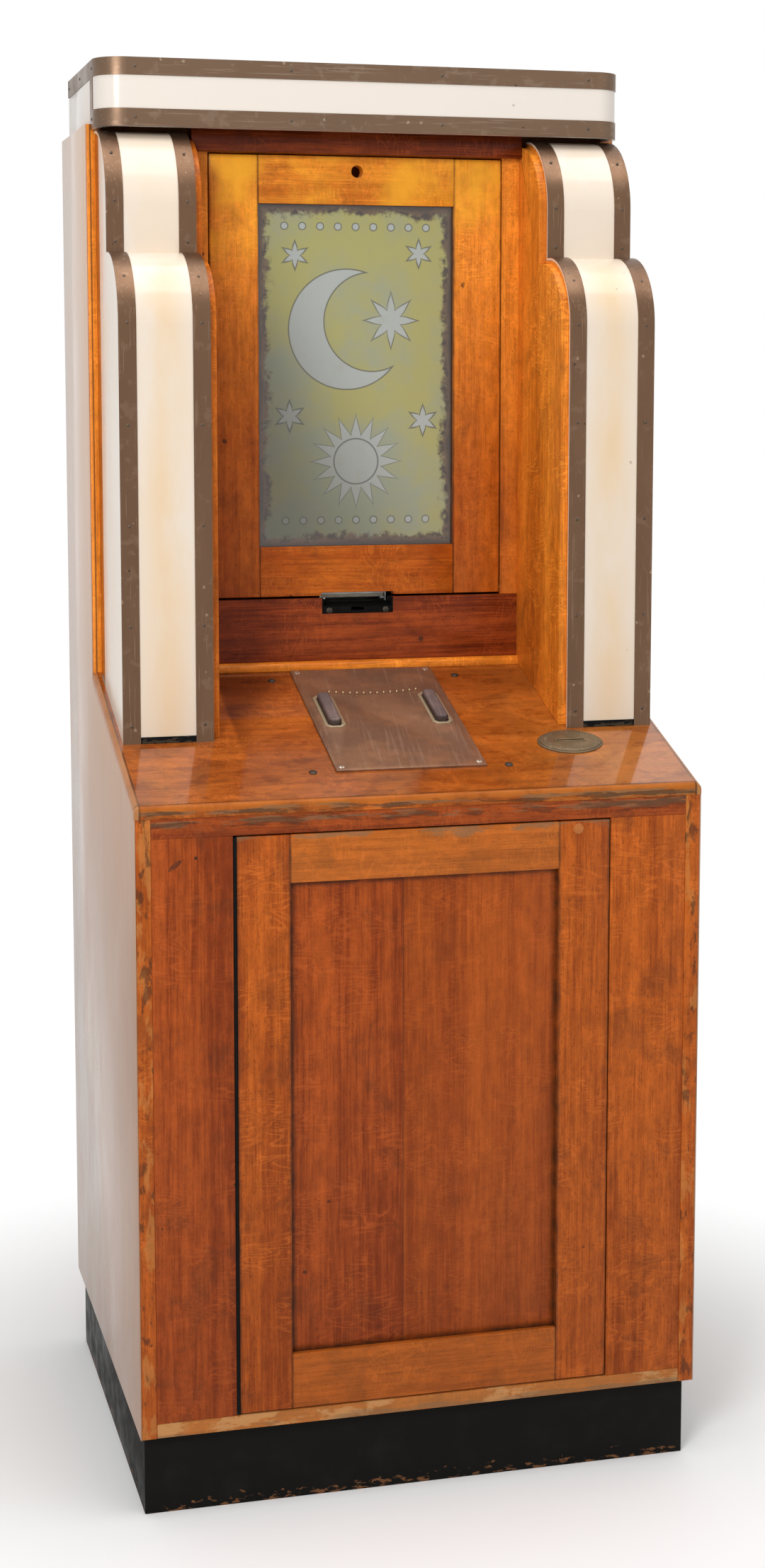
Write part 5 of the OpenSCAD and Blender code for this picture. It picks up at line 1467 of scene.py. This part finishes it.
class PALM_OT_works(bpy.types.Operator):
    """Card works, lamp and gland"""

    bl_idname = "palm.works"
    bl_label = "Inner works"

    def execute(self, context):
        metal = context.scene.palm_metal
        paint_nodes(oak_material("shelf_wood", "amber", "X", 43.0), "mechanism_shelf")
        steel = machined_material("works_steel", metal.steel, 0.36)
        paint_nodes(steel, "card_magazine", "card_slide")
        brass = machined_material("gear_brass", metal.brass, 0.3)
        paint_nodes(brass, "feed_gear", "drive_pinion")
        grey = paint_material("works_enamel", metal.casting, 0.4, metal.steel, 1.066, 0.02, 0.3)
        paint_nodes(grey, "gear_bracket", "motor")
        paint_nodes(self.cards(), "card_stack")
        paint_nodes(self.opal(), "lamp")
        black = paint_material("gland_enamel", metal.enamel, 0.45, metal.steel, 0.166, 0.004, 0.3)
        dressed("cable_gland", black, 0.3 * MM, 0.5 * MM)
        return {"FINISHED"}

    def cards(self):
        """A stack of pasteboard, striped by its card edges."""
        material, tree, shader = new_material("card_edges", 0.8)
        stripes = noise(tree, stretch(tree, object_point(tree), (0.05, 0.05, 1)), 1800, 1)
        color = mix(tree, ease(tree, stripes, 0.35, 0.65), (0.62, 0.54, 0.40), (0.85, 0.79, 0.66))
        tree.links.new(color, shader.inputs["Base Color"])
        return material

    def opal(self):
        """Opal glass on a black holder."""
        material, tree, shader = new_material("opal_lamp", 0.25)
        holder_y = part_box("lamp")[1].y - 30 * MM
        holder = ease(tree, coordinate(tree, "Y"), holder_y - 0.5 * MM, holder_y)
        cloud = uneven(tree, object_point(tree), 40, 3, 0.0, 0.2)
        bulb = mix(tree, cloud, (0.86, 0.83, 0.74), (0.70, 0.62, 0.45))
        tree.links.new(mix(tree, holder, bulb, (0.02, 0.018, 0.016)), shader.inputs["Base Color"])
        return material


class PALM_OT_stage(bpy.types.Operator):
    """Pale floor, soft lamps, plain sky and the camera"""

    bl_idname = "palm.stage"
    bl_label = "Studio"

    def execute(self, context):
        studio = context.scene.palm_studio
        self.floor(studio)
        self.lamp("key", (-2.2, -3.2, 2.8), 1.3, studio.key_power)
        self.lamp("fill", (3.0, -2.8, 1.6), 2.4, studio.fill_power)
        self.lamp("top", (0.2, -0.6, 4.0), 2.6, studio.top_power)
        self.sky(context.scene, studio)
        self.camera(context.scene, studio)
        context.scene.view_settings.view_transform = "Standard"
        return {"FINISHED"}

    def floor(self, studio):
        """A wide plain floor that fades to the white of the sky away from the cabinet."""
        bpy.ops.object.select_all(action="DESELECT")
        bpy.ops.mesh.primitive_plane_add(size=1.0)
        floor = bpy.context.object
        floor.name = "studio_floor"
        floor.scale = (14.0, 14.0, 1.0)
        apply_place()
        material, tree, shader = new_material("floor_paper", 0.9)
        point = object_point(tree)
        pale = mix(tree, noise(tree, point, 6, 2), studio.floor, tuple(0.985 * c for c in studio.floor))
        x, y, _ = parts_of(tree, point)
        square = calc(tree, "ADD", times(tree, x, x), times(tree, y, y))
        far = ease(tree, calc(tree, "SQRT", square), 0.40, 1.1)
        white = times(tree, far, seen_ray(tree))
        tree.links.new(mix(tree, white, pale, (0, 0, 0)), shader.inputs["Base Color"])
        tree.links.new(white, shader.inputs["Emission Strength"])
        shader.inputs["Emission Color"].default_value = (1, 1, 1, 1)
        floor.data.materials.append(material)

    def lamp(self, label, place, size, power):
        """A square soft lamp that looks at the cabinet's middle."""
        light = bpy.data.lights.new(label, "AREA")
        light.shape = "SQUARE"
        light.size = size
        light.energy = power
        lamp = bpy.data.objects.new(label, light)
        lamp.location = place
        lamp.rotation_euler = (Vector((0, 0, 1.0)) - Vector(place)).to_track_quat("-Z", "Y").to_euler()
        bpy.context.scene.collection.objects.link(lamp)

    def sky(self, scene, studio):
        """Plain white for the camera, weaker light for the rest."""
        world = bpy.data.worlds.new("studio_sky")
        world.use_nodes = True
        scene.world = world
        tree = world.node_tree
        back = tree.nodes["Background"]
        back.inputs["Color"].default_value = (1, 1, 1, 1)
        tree.links.new(ease(tree, seen_ray(tree), 0.0, 1.0, studio.sky, 1.0), back.inputs["Strength"])

    def camera(self, scene, studio):
        """The photograph's camera."""
        data = bpy.data.cameras.new("photo_camera")
        data.lens = studio.lens
        data.shift_x, data.shift_y = studio.shift
        camera = bpy.data.objects.new("photo_camera", data)
        camera.location = studio.camera_place
        camera.rotation_euler = (math.pi / 2 - studio.camera_pitch, 0, -studio.camera_yaw)
        scene.collection.objects.link(camera)
        scene.camera = camera


class PALM_PT_panel(bpy.types.Panel):
    """Lists the steps that dress the cabinet"""

    bl_idname = "PALM_PT_panel"
    bl_label = "Palm Reader"
    bl_space_type = "VIEW_3D"
    bl_region_type = "UI"
    bl_category = "Palm Reader"

    def draw(self, context):
        for step in STEPS:
            self.layout.operator(step.bl_idname)
        for group in GROUPS:
            settings = getattr(context.scene, group)
            box = self.layout.box()
            for name in settings.__annotations__:
                box.prop(settings, name)


GROUPS = {"palm_oak": OakFinish, "palm_shell": ShellFinish, "palm_metal": MetalFinish,
          "palm_sizes": FittingSizes, "palm_studio": StudioSetup}
STEPS = (PALM_OT_carcass, PALM_OT_lower_front, PALM_OT_desk, PALM_OT_hand_plate, PALM_OT_coin_entry,
         PALM_OT_upper_frame, PALM_OT_glass_door, PALM_OT_pilasters, PALM_OT_header, PALM_OT_works,
         PALM_OT_stage)


def register():
    """Registers the classes and hangs the settings on the scene."""
    for item in (*GROUPS.values(), *STEPS, PALM_PT_panel):
        bpy.utils.register_class(item)
    for name, group in GROUPS.items():
        setattr(bpy.types.Scene, name, bpy.props.PointerProperty(type=group))


def unregister():
    """Takes the settings and the classes away."""
    for name in GROUPS:
        delattr(bpy.types.Scene, name)
    for item in reversed((*GROUPS.values(), *STEPS, PALM_PT_panel)):
        bpy.utils.unregister_class(item)


def main():
    """Dresses the frame step by step."""
    register()
    make_groups()
    for step in STEPS:
        package, name = step.bl_idname.split(".")
        getattr(getattr(bpy.ops, package), name)()


if __name__ == "__main__":
    main()
